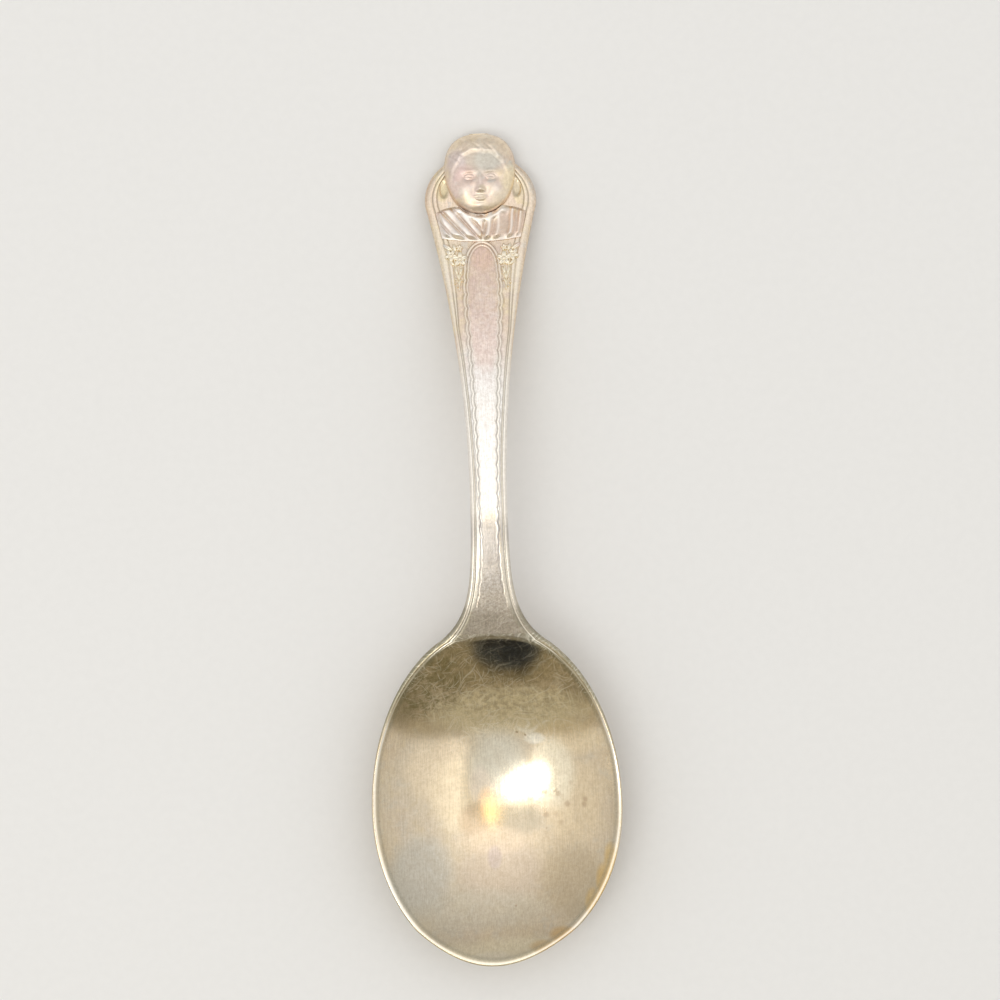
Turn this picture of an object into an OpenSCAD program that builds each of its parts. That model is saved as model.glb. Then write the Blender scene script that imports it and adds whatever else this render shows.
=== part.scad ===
// Baby spoon with a child's head at the end of the handle.
// An oval bowl is butted to a flat arched stem and backed by a heel drop, and the relief on the
// handle is made of pieces that seat on the stem: a head, a draped collar, a long panel with a
// scalloped edge and two flower sprays. A thin film of solder lies between each piece and its seat.
// X runs across the spoon, Y from the toe of the bowl to the crown of the head, and Z up.
// The origin is at the middle of the length, on the surface that the spoon lies on.

/* [Bowl] */
// Greatest width of the bowl
bowl_w = 32.4; // [26:0.2:38]
// From the toe to the widest point
toe_len = 20.5; // [16:0.5:25]
// From the widest point to the heel of the oval
heel_len = 23.9; // [19:0.1:29]
// Depth of the hollow below the rim
bowl_depth = 6.6; // [5:0.1:8.5]
// Thickness of the metal in the middle of the bowl
bowl_wall = 1; // [0.7:0.05:1.5]
// Width of the rim, seen from above
rim_w = 0.55; // [0.3:0.05:1]
// Thickness of the rim at its edge
rim_t = 0.8; // [0.5:0.05:1]
// Flat land between the hollow and the heel of the oval
heel_land = 1.9; // [1.6:0.1:3]
// Rise of the rim from its lowest point to the toe
toe_rise = 0.4; // [0:0.1:1.5]
// Rise of the rim from its lowest point to the heel
heel_rise = 2.4; // [1.2:0.1:3]
// How far use has worn the toe over to one side
toe_wear = 0.9; // [0:0.1:1.5]
// Depth of the flat that use has worn under the bowl
rest_wear = 0.1; // [0.05:0.01:0.2]

/* [Stem] */
// From the heel of the bowl's oval to the crown of the head
stem_len = 63.6; // [54:0.2:80]
// From the heel to the narrowest place, where the flare begins
neck_at = 15.6; // [13:0.2:20]
// From the heel to the crest of the arch
crest_at = 17; // [14:0.2:22]
// Height of the crest above the table
crest_h = 11.7; // [10.6:0.1:14]
// Width at the neck
neck_w = 4.7; // [3.8:0.1:6]
// Thickness at the neck
neck_t = 2.5; // [2:0.1:3.2]
// Thickness of the neck at its sides
neck_edge_t = 1.6; // [1.2:0.1:2]
// Thickness of the plate at the end of the handle
tip_t = 1.7; // [1.3:0.1:2.2]
// Thickness of that plate at its sides
tip_edge_t = 1.4; // [1:0.1:1.8]
// Length over which the shoulders curve in to the neck
shoulder_len = 3.3; // [2.4:0.1:4.5]
// Crown of the stem's face, from its sides to its middle
crown_h = 0.25; // [0:0.05:0.5]
// Width of the moulded thread along each side
thread_w = 0.95; // [0.6:0.05:1.1]
// Height of that thread
thread_h = 0.12; // [0.05:0.01:0.25]

/* [Handle end] */
// Width across the two lobes beside the head
lobe_w = 14.5; // [12:0.1:18]
// From the widest place of the lobes to the crown of the head
lobe_back = 8.7; // [7:0.1:11]
// Length of the round end that the lobes belong to
lobe_len = 6.1; // [5:0.1:8]
// Width of the head's place on the plate
head_w = 9.3; // [8:0.1:11]
// From the widest place of the head up to its crown
crown_len = 5; // [4:0.1:6]
// From the widest place of the head down to its chin
chin_len = 5.6; // [4.5:0.1:6.5]
// Height of the head above the plate
head_h = 2; // [1.2:0.1:3]
// Height of the collar's folds above the plate
collar_h = 0.9; // [0.5:0.05:1.3]
// From the chin down to the hem of the collar
collar_len = 3.6; // [2.5:0.1:5]

/* [Panel and sprays] */
// Height of the panel above the stem
panel_h = 0.22; // [0.12:0.01:0.4]
// Greatest width of the panel between its scallops
panel_w = 4.1; // [3.4:0.1:4.6]
// Length of one scallop along the panel's edge
scallop_len = 1.85; // [1.2:0.05:3]
// How far each scallop swells
scallop_h = 0.2; // [0.1:0.02:0.35]
// From the hem of the collar to the top of the panel
panel_gap = 0.25; // [0.1:0.05:1]
// From the heel of the bowl to the foot of the panel
panel_foot_at = 7.4; // [5:0.1:12]
// Length of the panel's round top
panel_arch_len = 3.3; // [2.6:0.1:6]
// Height of the sprays above the stem
spray_h = 0.35; // [0.15:0.01:0.5]
// Length of a spray, from its flower to its point
spray_len = 6.4; // [4:0.1:9]

/* [Heel drop] */
// Length of the drop on the back of the bowl
drop_fore_len = 8.5; // [5:0.1:12]
// Length of the drop on the back of the stem
drop_aft_len = 7.5; // [5:0.1:10]
// Greatest width of the drop
drop_w = 5.6; // [4:0.1:7]
// Thickness of the drop in its middle
drop_t = 0.7; // [0.4:0.05:1]

/* [Fit] */
// Film of solder between each piece and its seat
solder = 0.05; // [0.02:0.01:0.1]

/* [Hidden] */

silver = "#cfc8b4";
bright_silver = "#d8d2c2";
toned_silver = "#c9bca8";

// Places along the spoon, measured from the toe
wide_s = toe_len;
heel_s = toe_len + heel_len;
spoon_len = heel_s + stem_len;
neck_s = heel_s + neck_at;
crest_s = heel_s + crest_at;
lobe_s = spoon_len - lobe_back;
head_s = spoon_len - crown_len;
chin_s = head_s - chin_len;
hem_s = chin_s - collar_len;
panel_top_s = hem_s - panel_gap;
panel_foot_s = heel_s + panel_foot_at;

// Half widths
bowl_hw = bowl_w / 2;
neck_hw = neck_w / 2;
lobe_hw = lobe_w / 2;
head_hw = head_w / 2;

// Where the shoulders leave the oval, and where the bowl is butted to the stem
shoulder_back_share = 0.092;
seam_back_share = 0.74;
join_s = heel_s - shoulder_back_share * heel_len;
seam_s = heel_s - seam_back_share * heel_land;

// Shape of the hollow: the higher the power, the flatter the floor and the steeper the sides
hollow_power = 2.4;
// Plan of the hollow towards the heel: above 2 it is fuller at the shoulders than an ellipse
heel_power = 2.25;
// Roundness of the head's crown, and where its end is cut square
crown_power = 2.5;
crown_blunt_share = 0.985;
// The flare widens with the square of the distance, and would pass the lobes by this much
flare_share = 1.03;
flare_end_share = 0.33;
// Toe wear grows towards the toe with this power, and draws the end of the toe in to a slight point
wear_power = 3;
point_share = 0.11;
point_power = 1.2;
point_len = 5;
// Slope of the handle where it meets the table, as rise over run
tip_slope = -0.06;
// Depth of the flat worn under the handle's end
tip_wear = 0.05;
// Slanted edge under the rim and along the underside of the stem
edge_slant = 0.25;

// Metal below the rim in the middle of the bowl, and the height of the rim above the table
bowl_total = bowl_depth + bowl_wall;
rim_h = bowl_total - rest_wear;
heel_h = rim_h + heel_rise;
heel_slope = 2 * heel_rise / heel_len;
tip_h = tip_t - tip_wear;

// Fineness of the surfaces
oval_steps = 12;
seam_steps = 4;
hollow_rings = 10;
back_rings = 9;
shoulder_rows = 24;
stem_rows = 23;
tip_rows = 32;
head_sectors = 44;
head_rings = 11;
collar_cols = 30;
collar_rows = 8;
scallop_steps = 5;
drop_rows = 18;
drop_cols = 10;

// Plain mathematics
function mix(a, b, t) = a + (b - a) * t;
function ease(t) = let (u = max(0, min(1, t))) u * u * (3 - 2 * u);
function hermite(t, a, b, slope_a, slope_b, run) =
    let (u = t * t, v = u * t)
    (2 * v - 3 * u + 1) * a + (v - 2 * u + t) * slope_a * run + (3 * u - 2 * v) * b + (v - u) * slope_b * run;
function round_dome(r, power) = 1 - pow(min(1, r), power);

// Plan of the spoon: half width at a distance s from the toe
function oval_run(s) = s < wide_s ? toe_len : heel_len;
function oval_hw(s) = bowl_hw * sqrt(max(0, 1 - pow((s - wide_s) / oval_run(s), 2)));
function shoulder_hw(s) = neck_hw + (oval_hw(join_s) - neck_hw) * exp(-(s - join_s) / shoulder_len);
function flare_hw(s) = (lobe_hw - neck_hw) * flare_share * pow(max(0, (s - neck_s) / (lobe_s - neck_s)), 2);
function lobe_end_hw(s) = lobe_hw * sqrt(max(0, 1 - pow((s - lobe_s) / lobe_len, 2)));
function crown_hw(s) =
    let (r = min(crown_blunt_share, max(0, (s - head_s) / crown_len)))
    head_hw * pow(1 - pow(r, crown_power), 1 / crown_power);
function stem_hw(s) =
    let (body = shoulder_hw(s) + flare_hw(s))
    s < lobe_s - flare_end_share * lobe_len ? body :
    s < head_s ? max(min(body, lobe_end_hw(s)), head_hw) :
    max(lobe_end_hw(s), crown_hw(s));

// Side view: height of the rim, and then of the stem's face, at a distance s from the toe
function spine(s) =
    s < wide_s ? rim_h + toe_rise * pow((wide_s - s) / toe_len, 2) :
    s < heel_s ? rim_h + heel_rise * pow((s - wide_s) / heel_len, 2) :
    s < crest_s ? hermite((s - heel_s) / crest_at, heel_h, crest_h, heel_slope, 0, crest_at) :
    let (run = spoon_len - crest_s)
    hermite((s - crest_s) / run, crest_h, tip_h, 0, tip_slope, run);

// Bowl: 0 in the middle and 1 on the edge of the hollow, or on the edge of the oval
function hollow_r(x, s) =
    let (
        across = abs(x) / (bowl_hw - rim_w), power = s < wide_s ? 2 : heel_power,
        up = s < wide_s ? (wide_s - s) / (toe_len - rim_w) : (s - wide_s) / (heel_len - heel_land))
    pow(pow(across, power) + pow(up, power), 1 / power);
function oval_r(x, s) = norm([x / bowl_hw, (s - wide_s) / oval_run(s)]);
function hollow_z(x, s) = spine(s) - bowl_depth * round_dome(hollow_r(x, s), hollow_power);
function bowl_thick(x, s) = rim_t + (bowl_total - rim_t) * round_dome(oval_r(x, s), hollow_power);

// Stem: thickness in the middle and at the sides, and its face and back across the width
seam_t = bowl_thick(0, seam_s);
function along(s, at_seam, at_neck, at_lobes) =
    s < neck_s ? mix(at_seam, at_neck, ease((s - seam_s) / (neck_s - seam_s))) :
    mix(at_neck, at_lobes, ease((s - neck_s) / (lobe_s - neck_s)));
function stem_thick(x, s) =
    let (q = min(1, abs(x) / stem_hw(s)), edge = along(s, rim_t, neck_edge_t, tip_edge_t))
    edge + (along(s, seam_t, neck_t, tip_t) - edge) * (1 - q * q);
function stem_face(x, s) =
    let (q = min(1, abs(x) / stem_hw(s)))
    spine(s) - crown_h * q * q * ease((s - seam_s) / (neck_s - seam_s));
function stem_back(x, s) = spine(s) - stem_thick(x, s);

// Toe wear moves points sideways, and the origin is at the middle of the length
function wear(s) = s < wide_s ? -toe_wear * pow((wide_s - s) / toe_len, wear_power) : 0;
function point_fit(s) = 1 - point_share * pow(max(0, 1 - s / point_len), point_power);
function place(x, s, z) = [x * point_fit(s) + wear(s), s - spoon_len / 2, z];

// A closed solid between a top and a bottom grid of points, rows along Y and columns along X
module plate_solid(top, low) {
    rows = len(top);
    cols = len(top[0]);
    under = rows * cols;
    function at(i, j) = i * cols + j;
    edge = concat(
        [for (j = [0 : cols - 2]) at(0, j)],
        [for (i = [0 : rows - 2]) at(i, cols - 1)],
        [for (j = [cols - 1 : -1 : 1]) at(rows - 1, j)],
        [for (i = [rows - 1 : -1 : 1]) at(i, 0)]);
    faces = [
        for (i = [0 : rows - 2], j = [0 : cols - 2])
            let (a = at(i, j), b = at(i, j + 1), c = at(i + 1, j + 1), d = at(i + 1, j))
            each [[a, d, c], [a, c, b], [under + a, under + b, under + c], [under + a, under + c, under + d]],
        for (k = [0 : len(edge) - 1])
            let (p = edge[k], q = edge[(k + 1) % len(edge)])
            each [[p, q, under + q], [p, under + q, under + p]]
    ];
    polyhedron(concat([for (row = top) each row], [for (row = low) each row]), faces, convexity = 6);
}

// A closed solid between two stacks of rings, each listed anticlockwise from the middle outwards
module dish_solid(top_mid, top_rings, low_mid, low_rings) {
    n = len(top_rings[0]);
    tops = len(top_rings);
    lows = len(low_rings);
    low_start = 1 + tops * n;
    function at(start, j, k) = start + 1 + j * n + k % n;
    function upward(start, rings) = [
        for (k = [0 : n - 1]) [start, at(start, 0, k + 1), at(start, 0, k)],
        for (j = [0 : rings - 2], k = [0 : n - 1])
            let (
                a = at(start, j, k), b = at(start, j + 1, k),
                c = at(start, j + 1, k + 1), d = at(start, j, k + 1))
            each [[a, d, c], [a, c, b]]
    ];
    faces = concat(
        upward(0, tops),
        [for (f = upward(low_start, lows)) [f[0], f[2], f[1]]],
        [
            for (k = [0 : n - 1])
                let (
                    p = at(0, tops - 1, k), q = at(0, tops - 1, k + 1),
                    u = at(low_start, lows - 1, k), v = at(low_start, lows - 1, k + 1))
                each [[p, q, v], [p, v, u]]
        ]);
    points = concat([top_mid], [for (r = top_rings) each r], [low_mid], [for (r = low_rings) each r]);
    polyhedron(points, faces, convexity = 6);
}

// Outline of the bowl, anticlockwise from the middle of the seam: along the seam to the left,
// down the left side, round the toe and up the right side
bowl_seam_s = seam_s - solder / 2;
join_angle = acos((join_s - wide_s) / heel_len);
bowl_left = concat(
    [for (k = [0 : seam_steps]) [-shoulder_hw(bowl_seam_s) * k / seam_steps, bowl_seam_s]],
    [for (k = [0 : oval_steps]) let (a = mix(join_angle, 90, k / oval_steps))
        [-bowl_hw * sin(a), wide_s + heel_len * cos(a)]],
    [for (k = [1 : oval_steps]) let (a = mix(90, 180, k / oval_steps))
        [-bowl_hw * sin(a), wide_s + toe_len * cos(a)]]);
bowl_outline = concat(
    bowl_left,
    [for (k = [len(bowl_left) - 2 : -1 : 1]) [-bowl_left[k][0], bowl_left[k][1]]]);
function bowl_inset(p) =
    p[1] >= bowl_seam_s ? [p[0] * (1 - edge_slant / shoulder_hw(bowl_seam_s)), p[1]] :
    let (d = p - [0, wide_s]) [0, wide_s] + d * (1 - edge_slant / norm(d));

// What lies below the table is worn away, which leaves a flat under the bowl and one under the tip
module table_wear() translate([-bowl_w / 2, -spoon_len / 2, -bowl_w]) cube([bowl_w, spoon_len, bowl_w]);

module bowl() color(bright_silver) {
    mid = [0, wide_s];
    hollow = [
        for (j = [1 : hollow_rings])
            [for (p = bowl_outline)
                let (c = mid + (p - mid) * (j / hollow_rings) / hollow_r(p[0], p[1]))
                place(c[0], c[1], hollow_z(c[0], c[1]))]
    ];
    rim = [for (p = bowl_outline) place(p[0], p[1], spine(p[1]))];
    back = [
        for (j = [1 : back_rings])
            [for (p = bowl_outline)
                let (c = mid + (bowl_inset(p) - mid) * j / back_rings)
                place(c[0], c[1], spine(c[1]) - bowl_thick(c[0], c[1]))]
    ];
    difference() {
        dish_solid(
            place(0, wide_s, hollow_z(0, wide_s)), concat(hollow, [rim]),
            place(0, wide_s, -rest_wear), back);
        table_wear();
    }
}

// Stem: stations along its length, and columns across it that carry the threads at its sides
stem_seam_s = seam_s + solder / 2;
function stations(from, to, rows) = [for (k = [0 : rows - 1]) mix(from, to, k / rows)];
stem_stations = concat(
    stations(stem_seam_s, neck_s, shoulder_rows),
    stations(neck_s, hem_s, stem_rows),
    stations(hem_s, spoon_len, tip_rows),
    [spoon_len]);
// Across one thread, from the side inwards: its place as a share of its width, its height as a share
thread_shares = [[0, -2], [0.14, -0.2], [0.32, 0.6], [0.52, -0.4], [0.74, 0.6], [1, 0]];
thread_limit_share = 0.4;
face_cols = 4;
function thread_fit(s) = min(thread_w, thread_limit_share * stem_hw(s));
function thread_fade(s) = 1 - ease(1 - (head_s - s) / thread_w);
function stem_columns(s) =
    let (hw = stem_hw(s), w = thread_fit(s), inner = hw - w, fade = thread_fade(s))
    let (left = [for (t = thread_shares) [-hw + t[0] * w, t[1] * fade]])
    concat(
        left,
        [for (k = [1 : face_cols - 1]) [mix(-inner, inner, k / face_cols), 0]],
        [for (k = [len(left) - 1 : -1 : 0]) [-left[k][0], left[k][1]]]);
slant_limit_share = 0.25;
function underside_x(x, s) = x - sign(x) * min(edge_slant * abs(x) / stem_hw(s), slant_limit_share * abs(x));

module stem() color(silver) {
    top = [for (s = stem_stations)
        [for (c = stem_columns(s)) place(c[0], s, stem_face(c[0], s) + c[1] * thread_h)]];
    low = [for (s = stem_stations)
        [for (c = stem_columns(s)) let (x = underside_x(c[0], s)) place(x, s, stem_back(x, s))]];
    difference() {
        plate_solid(top, low);
        table_wear();
    }
}

// Heel drop: a tongue on the back of the joint, pointed on the stem and round on the bowl
drop_fore_s = seam_s - drop_fore_len;
drop_aft_s = seam_s + drop_aft_len;
drop_edge_share = 0.25;
function drop_hw(s) =
    let (r = s < seam_s ? (seam_s - s) / drop_fore_len : (s - seam_s) / drop_aft_len)
    drop_w / 2 * sqrt(1 - pow(min(crown_blunt_share, r), 2));
function drop_seat(x, s) = spine(s) - max(bowl_thick(x, s), stem_thick(x, s)) - solder;

module heel_drop() color(silver) {
    rows = [for (k = [0 : drop_rows]) mix(drop_fore_s, drop_aft_s, (1 - cos(180 * k / drop_rows)) / 2)];
    shares = [for (k = [0 : drop_cols]) -cos(180 * k / drop_cols)];
    top = [for (s = rows) [for (q = shares) place(q * drop_hw(s), s, drop_seat(q * drop_hw(s), s))]];
    low = [
        for (s = rows)
            [for (q = shares)
                let (
                    x = q * drop_hw(s), body = drop_hw(s) / (drop_w / 2),
                    t = drop_t * mix(drop_edge_share, 1, body * sqrt(max(0, 1 - q * q))))
                place(x, s, drop_seat(x, s) - t)]
    ];
    plate_solid(top, low);
}

// Head: a dome with cheeks, chin, nose, brow and a cap of hair.
// Each feature: sideways place, place up from the middle, half width, half length and height, as shares
// of the head's half width, of its length from chin to crown and of its height
head_margin = 0.2;
head_edge_t = 0.3;
head_dome_share = 0.72;
head_power = 3;
seat_rings = 4;
head_length = crown_len + chin_len;
feature_shares = [
    [0.42, -0.2, 0.42, 0.2, 0.16], [-0.42, -0.2, 0.42, 0.2, 0.16],
    [0, -0.42, 0.3, 0.11, 0.14], [0, -0.16, 0.17, 0.13, 0.3],
    [0, 0.1, 0.7, 0.14, 0.12], [0, 0.36, 1, 0.3, 0.18]
];
head_seat_hw = head_hw - head_margin;
function head_outline(a) =
    let (
        up = sin(a) > 0, power = up ? crown_power : 2, run = up ? crown_len - head_margin : chin_len,
        r = pow(pow(abs(cos(a)) / head_seat_hw, power) + pow(abs(sin(a)) / run, power), -1 / power))
    [r * cos(a), head_s + r * sin(a)];
function bump(x, s, f) =
    let (u = (x / head_hw - f[0]) / f[2], v = ((s - head_s) / head_length - f[1]) / f[3])
    f[4] * pow(max(0, 1 - u * u - v * v), 2);
function features(x, s) = [for (f = feature_shares) bump(x, s, f)] * [for (f = feature_shares) 1];
function head_relief(x, s, r) =
    let (dome = round_dome(r, head_power))
    head_edge_t + (head_h - head_edge_t) * (head_dome_share * sqrt(dome) + features(x, s) * dome);
function seat(x, s) = stem_face(x, s) + solder;

module head() color(toned_silver) {
    mid = [0, head_s];
    outline = [for (k = [0 : head_sectors - 1]) head_outline(360 * k / head_sectors)];
    top = [
        for (j = [1 : head_rings])
            [for (p = outline)
                let (r = j / head_rings, c = mid + (p - mid) * r)
                place(c[0], c[1], seat(c[0], c[1]) + head_relief(c[0], c[1], r))]
    ];
    low = [
        for (j = [1 : seat_rings])
            [for (p = outline) let (c = mid + (p - mid) * j / seat_rings) place(c[0], c[1], seat(c[0], c[1]))]
    ];
    dish_solid(
        place(0, head_s, seat(0, head_s) + head_relief(0, head_s, 0)), top,
        place(0, head_s, seat(0, head_s)), low);
}

// Collar: cloth gathered under the chin, with folds that fan out from the neck
collar_margin = 0.12;
collar_top_share = 0.8;
collar_drop = 0.9;
collar_edge_share = 0.35;
fold_angle = 24;
hem_lift = 0.5;
collar_shoulder_s = head_s - collar_top_share * chin_len;
function collar_hw(s) = stem_hw(s) - thread_w - collar_margin;
function head_low(x) = head_s - chin_len * sqrt(max(0, 1 - pow(x / head_seat_hw, 2))) - solder;
function collar_top(q) =
    let (s = head_low(q * collar_hw(chin_s)))
    min(collar_shoulder_s - collar_drop * pow(q, 4), head_low(q * collar_hw(s)));
function collar_relief(x, s, q, edge) =
    let (
        fold = (1 + cos(360 * atan2(x, head_s - s) / fold_angle)) / 2,
        body = round_dome(abs(q), 6) * (1 - edge))
    collar_h * mix(collar_edge_share, 1, body * mix(collar_edge_share, 1, fold));

module collar() color(toned_silver) {
    shares = [for (k = [0 : collar_cols]) mix(-1, 1, k / collar_cols)];
    grid = [
        for (i = [0 : collar_rows])
            [for (q = shares)
                let (s = mix(hem_s + hem_lift * q * q, collar_top(q), i / collar_rows))
                [q * collar_hw(s), s, q, i == 0 ? 1 : 0]]
    ];
    plate_solid(
        [for (row = grid) [for (c = row)
            place(c[0], c[1], seat(c[0], c[1]) + collar_relief(c[0], c[1], c[2], c[3]))]],
        [for (row = grid) [for (c = row) place(c[0], c[1], seat(c[0], c[1]))]]);
}

// Panel: follows the stem's width up to its own, with a round top, a blunt foot and scalloped sides
panel_share = 0.46;
panel_end_share = 0.97;
panel_blunt_len = 1.2;
panel_edge_share = 0.5;
panel_columns = [[-1, panel_edge_share], [-0.85, 1], [0, 1], [0.85, 1], [1, panel_edge_share]];
function panel_round(s) =
    let (
        from_top = (s - panel_top_s + panel_arch_len) / panel_arch_len,
        from_foot = (panel_foot_s + panel_blunt_len - s) / panel_blunt_len,
        r = min(panel_end_share, max(0, from_top, from_foot)))
    sqrt(1 - r * r);
function panel_hw(s) =
    let (scallop = scallop_h * abs(sin(180 * (s - panel_foot_s) / scallop_len)))
    panel_round(s) * (min(panel_share * stem_hw(s), panel_w / 2) + scallop);

module name_panel() color(bright_silver) {
    count = ceil(scallop_steps * (panel_top_s - panel_foot_s) / scallop_len);
    rows = concat(stations(panel_foot_s, panel_top_s, count), [panel_top_s]);
    plate_solid(
        [for (s = rows) [for (c = panel_columns)
            let (x = c[0] * panel_hw(s)) place(x, s, seat(x, s) + c[1] * panel_h)]],
        [for (s = rows) [for (c = panel_columns) let (x = c[0] * panel_hw(s)) place(x, s, seat(x, s))]]);
}

// Sprays: a posy of three flowers on stalks that run together to a point, in the space between the
// panel and the thread. Silhouette: place along the spray, half width as a share of that space
spray_shares = [
    [0, 0.05], [0.08, 0.16], [0.2, 0.32], [0.32, 0.36], [0.44, 0.4], [0.56, 0.6], [0.68, 0.82],
    [0.8, 0.86], [0.9, 0.78], [0.97, 0.5], [1, 0.2]
];
spray_base_share = 0.35;
spray_rows = 26;
spray_cols = 9;
// Flowers: place along the spray, place across the space and half width as a share of the space
flower_shares = [[0.71, -0.4, 0.48], [0.8, 0.4, 0.44], [0.92, -0.12, 0.34]];
petals = 5;
petal_share = 0.16;
stalks = 3;
stalk_share = 0.3;
function spray_space(s) = (stem_hw(s) - thread_w - panel_hw(s)) / 2;
function spray_middle(s) = stem_hw(s) - thread_w - spray_space(s);
function spray_s(v) = panel_top_s - spray_len * (1 - v);
function flower(x, s, f) =
    let (
        mid_s = spray_s(f[0]), space = spray_space(mid_s), dx = x - spray_middle(mid_s) - f[1] * space,
        dy = s - mid_s, round = f[2] * space * (1 + petal_share * cos(petals * atan2(dx, dy))))
    sqrt(round_dome(norm([dx, dy]) / round, 2));
function spray_relief(q, x, s) =
    let (
        edge = round_dome(abs(q), 4),
        stalk = stalk_share * edge * (1 + cos(180 * stalks * q)) / 2,
        bloom = max([for (f = flower_shares) flower(x, s, f)]))
    spray_h * mix(spray_base_share * edge, 1, max(stalk, bloom));

module spray(side) color(silver) {
    grid = [
        for (i = [0 : spray_rows])
            let (v = i / spray_rows, s = spray_s(v), hw = lookup(v, spray_shares) * spray_space(s))
            [for (j = [0 : spray_cols])
                let (q = mix(-1, 1, j / spray_cols), x = spray_middle(s) + side * q * hw)
                [side * x, s, spray_relief(q, x, s)]]
    ];
    plate_solid(
        [for (row = grid) [for (c = row) place(c[0], c[1], seat(c[0], c[1]) + c[2])]],
        [for (row = grid) [for (c = row) place(c[0], c[1], seat(c[0], c[1]))]]);
}
module flower_spray_left() spray(-1);
module flower_spray_right() spray(1);

bowl();
stem();
heel_drop();
head();
collar();
name_panel();
flower_spray_left();
flower_spray_right();
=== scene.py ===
import math
import bpy
import numpy as np
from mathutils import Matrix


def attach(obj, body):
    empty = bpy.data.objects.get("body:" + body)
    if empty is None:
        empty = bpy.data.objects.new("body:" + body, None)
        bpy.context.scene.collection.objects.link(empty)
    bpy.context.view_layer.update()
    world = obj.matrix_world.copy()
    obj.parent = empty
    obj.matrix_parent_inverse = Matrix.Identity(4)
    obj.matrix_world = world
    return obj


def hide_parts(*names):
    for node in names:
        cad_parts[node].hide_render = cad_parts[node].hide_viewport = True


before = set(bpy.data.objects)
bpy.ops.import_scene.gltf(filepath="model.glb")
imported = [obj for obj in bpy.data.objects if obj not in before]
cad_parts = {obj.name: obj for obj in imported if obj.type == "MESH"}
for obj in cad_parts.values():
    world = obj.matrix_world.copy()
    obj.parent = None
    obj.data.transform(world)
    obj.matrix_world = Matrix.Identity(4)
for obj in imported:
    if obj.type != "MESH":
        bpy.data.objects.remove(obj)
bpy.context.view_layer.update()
print("frame: nodes", sorted(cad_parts))

# the spoon's plan and side view in mm, s runs from the toe of the bowl to the crown of the head
spoon = {
    "bowlHalf": 16.2, "toeLen": 20.5, "heelLen": 23.9, "depth": 6.6, "total": 7.6,
    "rimWidth": 0.55, "rimThick": 0.8, "heelLand": 1.9, "hollowPower": 2.4,
    "heelPower": 2.25, "rimHeight": 7.5, "toeRise": 0.4, "heelRise": 2.4,
    "toeWear": 0.9, "pointShare": 0.11, "pointLen": 5.0, "pointPower": 1.2,
    "joinShare": 0.092, "seamShare": 0.74,  # where the shoulders leave the oval, where bowl and stem meet
    "stemLen": 63.6, "neckAt": 15.6, "crestAt": 17.0, "crestHeight": 11.7,
    "neckHalf": 2.35, "shoulderLen": 3.3, "flareGain": 1.03, "faceFall": 0.25,
    "neckThick": 2.5, "neckSide": 1.6, "endThick": 1.7, "endSide": 1.4,
    "lobeHalf": 7.25, "lobeBack": 8.7, "lobeLen": 6.1, "lobeStart": 0.33,
    "headHalf": 4.65, "crownLen": 5.0, "chinLen": 5.6, "crownPower": 2.5, "crownBlunt": 0.985,
    "collarLen": 3.6, "panelTopGap": 0.25, "panelFootAt": 7.4,
    "tipHeight": 1.65, "tipSlope": -0.06, "solder": 0.05,
}
wideS = spoon["toeLen"]
heelS = wideS + spoon["heelLen"]
fullLen = heelS + spoon["stemLen"]
neckS = heelS + spoon["neckAt"]
crestS = heelS + spoon["crestAt"]
lobeS = fullLen - spoon["lobeBack"]
headS = fullLen - spoon["crownLen"]
chinS = headS - spoon["chinLen"]
hemS = chinS - spoon["collarLen"]
panelTopS = hemS - spoon["panelTopGap"]
panelFootS = heelS + spoon["panelFootAt"]
joinS = heelS - spoon["joinShare"] * spoon["heelLen"]
seamS = heelS - spoon["seamShare"] * spoon["heelLand"]


def ease(t):  # smooth step: 3 u squared minus 2 u cubed
    u = np.clip(t, 0, 1)
    return u * u * (3 - 2 * u)


def mix(a, b, t):
    return a + (b - a) * t


def bell(t):  # bell curve: e to the minus t squared
    return np.exp(-t * t)


def rounded(t):  # fall of a quarter circle: 0 at 0, 1 at 1
    return 1 - np.sqrt(np.maximum(0, 1 - t * t))


def ovalHalf(s):  # half width of an ellipse, one for the toe and one for the heel
    run = np.where(s < wideS, spoon["toeLen"], spoon["heelLen"])
    return spoon["bowlHalf"] * np.sqrt(np.maximum(0, 1 - ((s - wideS) / run) ** 2))


def bodyHalf(s):  # neck, plus the shoulders that die away and the flare that grows with the square
    start = ovalHalf(np.array(joinS)) - spoon["neckHalf"]
    shoulder = start * np.exp(-(s - joinS) / spoon["shoulderLen"])
    flare = spoon["flareGain"] * np.maximum(0, (s - neckS) / (lobeS - neckS)) ** 2
    return spoon["neckHalf"] + shoulder + (spoon["lobeHalf"] - spoon["neckHalf"]) * flare


def lobeEndHalf(s):  # half width of the round end that both lobes belong to
    return spoon["lobeHalf"] * np.sqrt(np.maximum(0, 1 - ((s - lobeS) / spoon["lobeLen"]) ** 2))


def crownHalf(s):  # superellipse over the crown of the head
    r = np.clip((s - headS) / spoon["crownLen"], 0, spoon["crownBlunt"])
    return spoon["headHalf"] * (1 - r ** spoon["crownPower"]) ** (1 / spoon["crownPower"])


def stemHalf(s):  # body, then the lobes, then the crown, whichever is in force
    lobes = np.maximum(np.minimum(bodyHalf(s), lobeEndHalf(s)), spoon["headHalf"])
    tip = np.maximum(lobeEndHalf(s), crownHalf(s))
    fromS = lobeS - spoon["lobeStart"] * spoon["lobeLen"]
    return np.where(s < fromS, bodyHalf(s), np.where(s < headS, lobes, tip))


def hermite(t, a, b, slopeA, slopeB, run):  # cubic between two heights with a slope at each end
    u, v = t * t, t * t * t
    level = (2 * v - 3 * u + 1) * a + (3 * u - 2 * v) * b
    return level + (v - 2 * u + t) * slopeA * run + (v - u) * slopeB * run


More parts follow.
